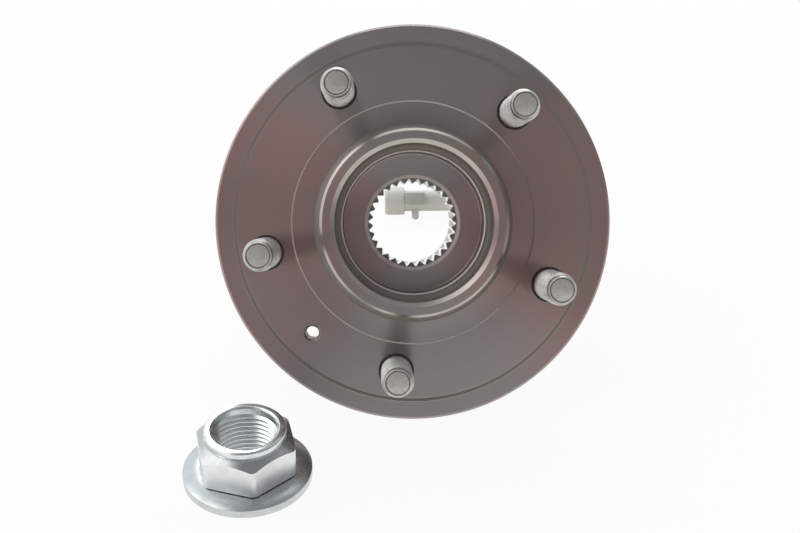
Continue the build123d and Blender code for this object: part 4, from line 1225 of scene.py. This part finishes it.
# The patches of the tent round the object: the middle of each, how squarely a direction faces it
# where it starts and where it is full, and its colour. A later patch lies over the earlier ones.
TENT_COLOUR = (0.42, 0.42, 0.44)
TENT_PATCHES = [
    (Vector((0, 1, 0)), 0.1, 0.9, (0.70, 0.76, 0.82)),  # pale wall behind
    (Vector((-0.75, 0.5, 0.42)), 0.6, 0.95, (0.95, 1.0, 1.04)),  # white screen behind, left
    (Vector((0.95, -0.3, 0)), 0.6, 0.97, (0.25, 0.24, 0.24)),  # dark side on the right
    (Vector((0, 0, 1)), 0.75, 0.97, (0.3, 0.31, 0.33)),  # dark roof
    (Vector((0, 0.65, 0.76)), 0.88, 0.99, (1.0, 1.03, 1.06)),  # white strip high behind
    (round_the_hub(138, 70), 0.80, 0.99, (1.7, 1.7, 1.7)),  # bright screen, upper left
    (round_the_hub(207, 65), 0.85, 0.99, (2.0, 2.0, 2.0)),  # bright screen, lower left
    (round_the_hub(302, 45), 0.84, 0.99, (0.9, 0.9, 0.9)),  # pale screen, lower right
    (hub_axis + 0.3 * hub_up, 0.85, 0.99, (0.24, 0.23, 0.23)),  # dark opening in front
    (round_the_hub(280, 22), 0.95, 0.998, (0.75, 0.75, 0.75)),  # pale card under the opening
]
SURFACE_HALF_WIDTH = 30.0
SURFACE_GLOW = 0.93  # share of plain white that a direct look at the surface holds
LAMP_PLACE = Vector((0.1, 1.1, 0.9))
LAMP_SIZES = (0.9, 0.4)
LAMP_POWER = 4.0


class MakeStage(bpy.types.Operator):
    """Lays a white surface under the object, and lights it from a tent and a lamp behind"""

    bl_idname = "wheel_hub.make_stage"
    bl_label = "Stage and lights"

    def execute(self, context):
        bm = bmesh.new()
        bmesh.ops.create_grid(
            bm, x_segments=1, y_segments=1, size=SURFACE_HALF_WIDTH,
            matrix=Matrix.Translation((0, 0, SURFACE)),
        )
        floor = loose(bm, "surface", [self.white_surface()])
        self.tent(context)
        self.lamp(context)
        context.scene.view_settings.view_transform = "Standard"
        return {"FINISHED"}

    def white_surface(self):
        """Matt white board that holds shadows. The camera, a mirror or clear glass sees it
        nearly plain white."""
        material, tree = new_material("white_surface")
        ray = add_node(tree, "ShaderNodeLightPath").outputs
        seen = add_node(
            tree, "ShaderNodeMath", {0: ray["Is Glossy Ray"], 1: ray["Is Transmission Ray"]},
            operation="MAXIMUM",
        ).outputs[0]
        seen = add_node(
            tree, "ShaderNodeMath", {0: ray["Is Camera Ray"], 1: seen}, operation="MAXIMUM"
        ).outputs[0]
        share = add_node(
            tree, "ShaderNodeMath", {0: seen, 1: SURFACE_GLOW}, operation="MULTIPLY"
        ).outputs[0]
        board = add_node(tree, "ShaderNodeBsdfDiffuse", {"Color": settings().colours.floor})
        glow = add_node(tree, "ShaderNodeEmission", {"Color": (1, 1, 1), "Strength": 1.0})
        shader = add_node(
            tree, "ShaderNodeMixShader", {0: share, 1: board.outputs[0], 2: glow.outputs[0]}
        )
        add_node(tree, "ShaderNodeOutputMaterial", {"Surface": shader.outputs[0]})
        return material

    def tent(self, context):
        """The world: a grey tent with its patches."""
        world = bpy.data.worlds.new("tent")
        context.scene.world = world
        world.use_nodes = True
        tree = world.node_tree
        tree.nodes.clear()
        direction = add_node(tree, "ShaderNodeTexCoord").outputs["Generated"]
        tent = TENT_COLOUR
        for middle, start, full, patch in TENT_PATCHES:
            facing = add_node(
                tree, "ShaderNodeVectorMath", {0: direction, 1: tuple(middle.normalized())},
                operation="DOT_PRODUCT",
            ).outputs["Value"]
            tent = graded(tree, facing, start, full, tent, patch)
        light = add_node(tree, "ShaderNodeBackground", {"Color": tent, "Strength": 1.0})
        add_node(tree, "ShaderNodeOutputWorld", {"Surface": light.outputs[0]})

    def lamp(self, context):
        """A soft lamp behind and above, aimed at the object."""
        data = bpy.data.lights.new("back_softbox", "AREA")
        data.shape = "RECTANGLE"
        data.size, data.size_y = LAMP_SIZES
        data.energy = LAMP_POWER
        lamp = bpy.data.objects.new("back_softbox", data)
        context.scene.collection.objects.link(lamp)
        lamp.location = LAMP_PLACE
        lamp.rotation_euler = (-LAMP_PLACE).to_track_quat("-Z", "Y").to_euler()


OPERATORS = [
    MakeCamera,
    MakeLead,
    MakeHub,
    MakeStuds,
    MakeNut,
    MakeWasher,
    MakeConnector,
    FinishBearing,
    MakeStage,
]


class WheelHubPanel(bpy.types.Panel):
    """Lists the operators that make the wheel hub bearing, and its sizes"""

    bl_idname = "VIEW3D_PT_wheel_hub"
    bl_label = "Wheel hub bearing"
    bl_space_type = "VIEW_3D"
    bl_region_type = "UI"
    bl_category = "Wheel Hub"

    def draw(self, context):
        for operator in OPERATORS:
            self.layout.operator(operator.bl_idname)
        for name, group in GROUPS.items():
            box = self.layout.box()
            box.label(text=name.capitalize())
            values = getattr(settings(), name)
            for value in group.__annotations__:
                box.prop(values, value)


CLASSES = [*GROUPS.values(), HubSettings, *OPERATORS, WheelHubPanel]


def register():
    """Registers the classes and the scene's settings."""
    for cls in CLASSES:
        bpy.utils.register_class(cls)
    bpy.types.Scene.wheel_hub_bearing = bpy.props.PointerProperty(type=HubSettings)


def unregister():
    """Removes the scene's settings and the classes."""
    del bpy.types.Scene.wheel_hub_bearing
    for cls in reversed(CLASSES):
        bpy.utils.unregister_class(cls)


def main():
    """Makes every piece in order."""
    register()
    for operator in OPERATORS:
        group, name = operator.bl_idname.split(".")
        getattr(getattr(bpy.ops, group), name)()


if __name__ == "__main__":
    main()
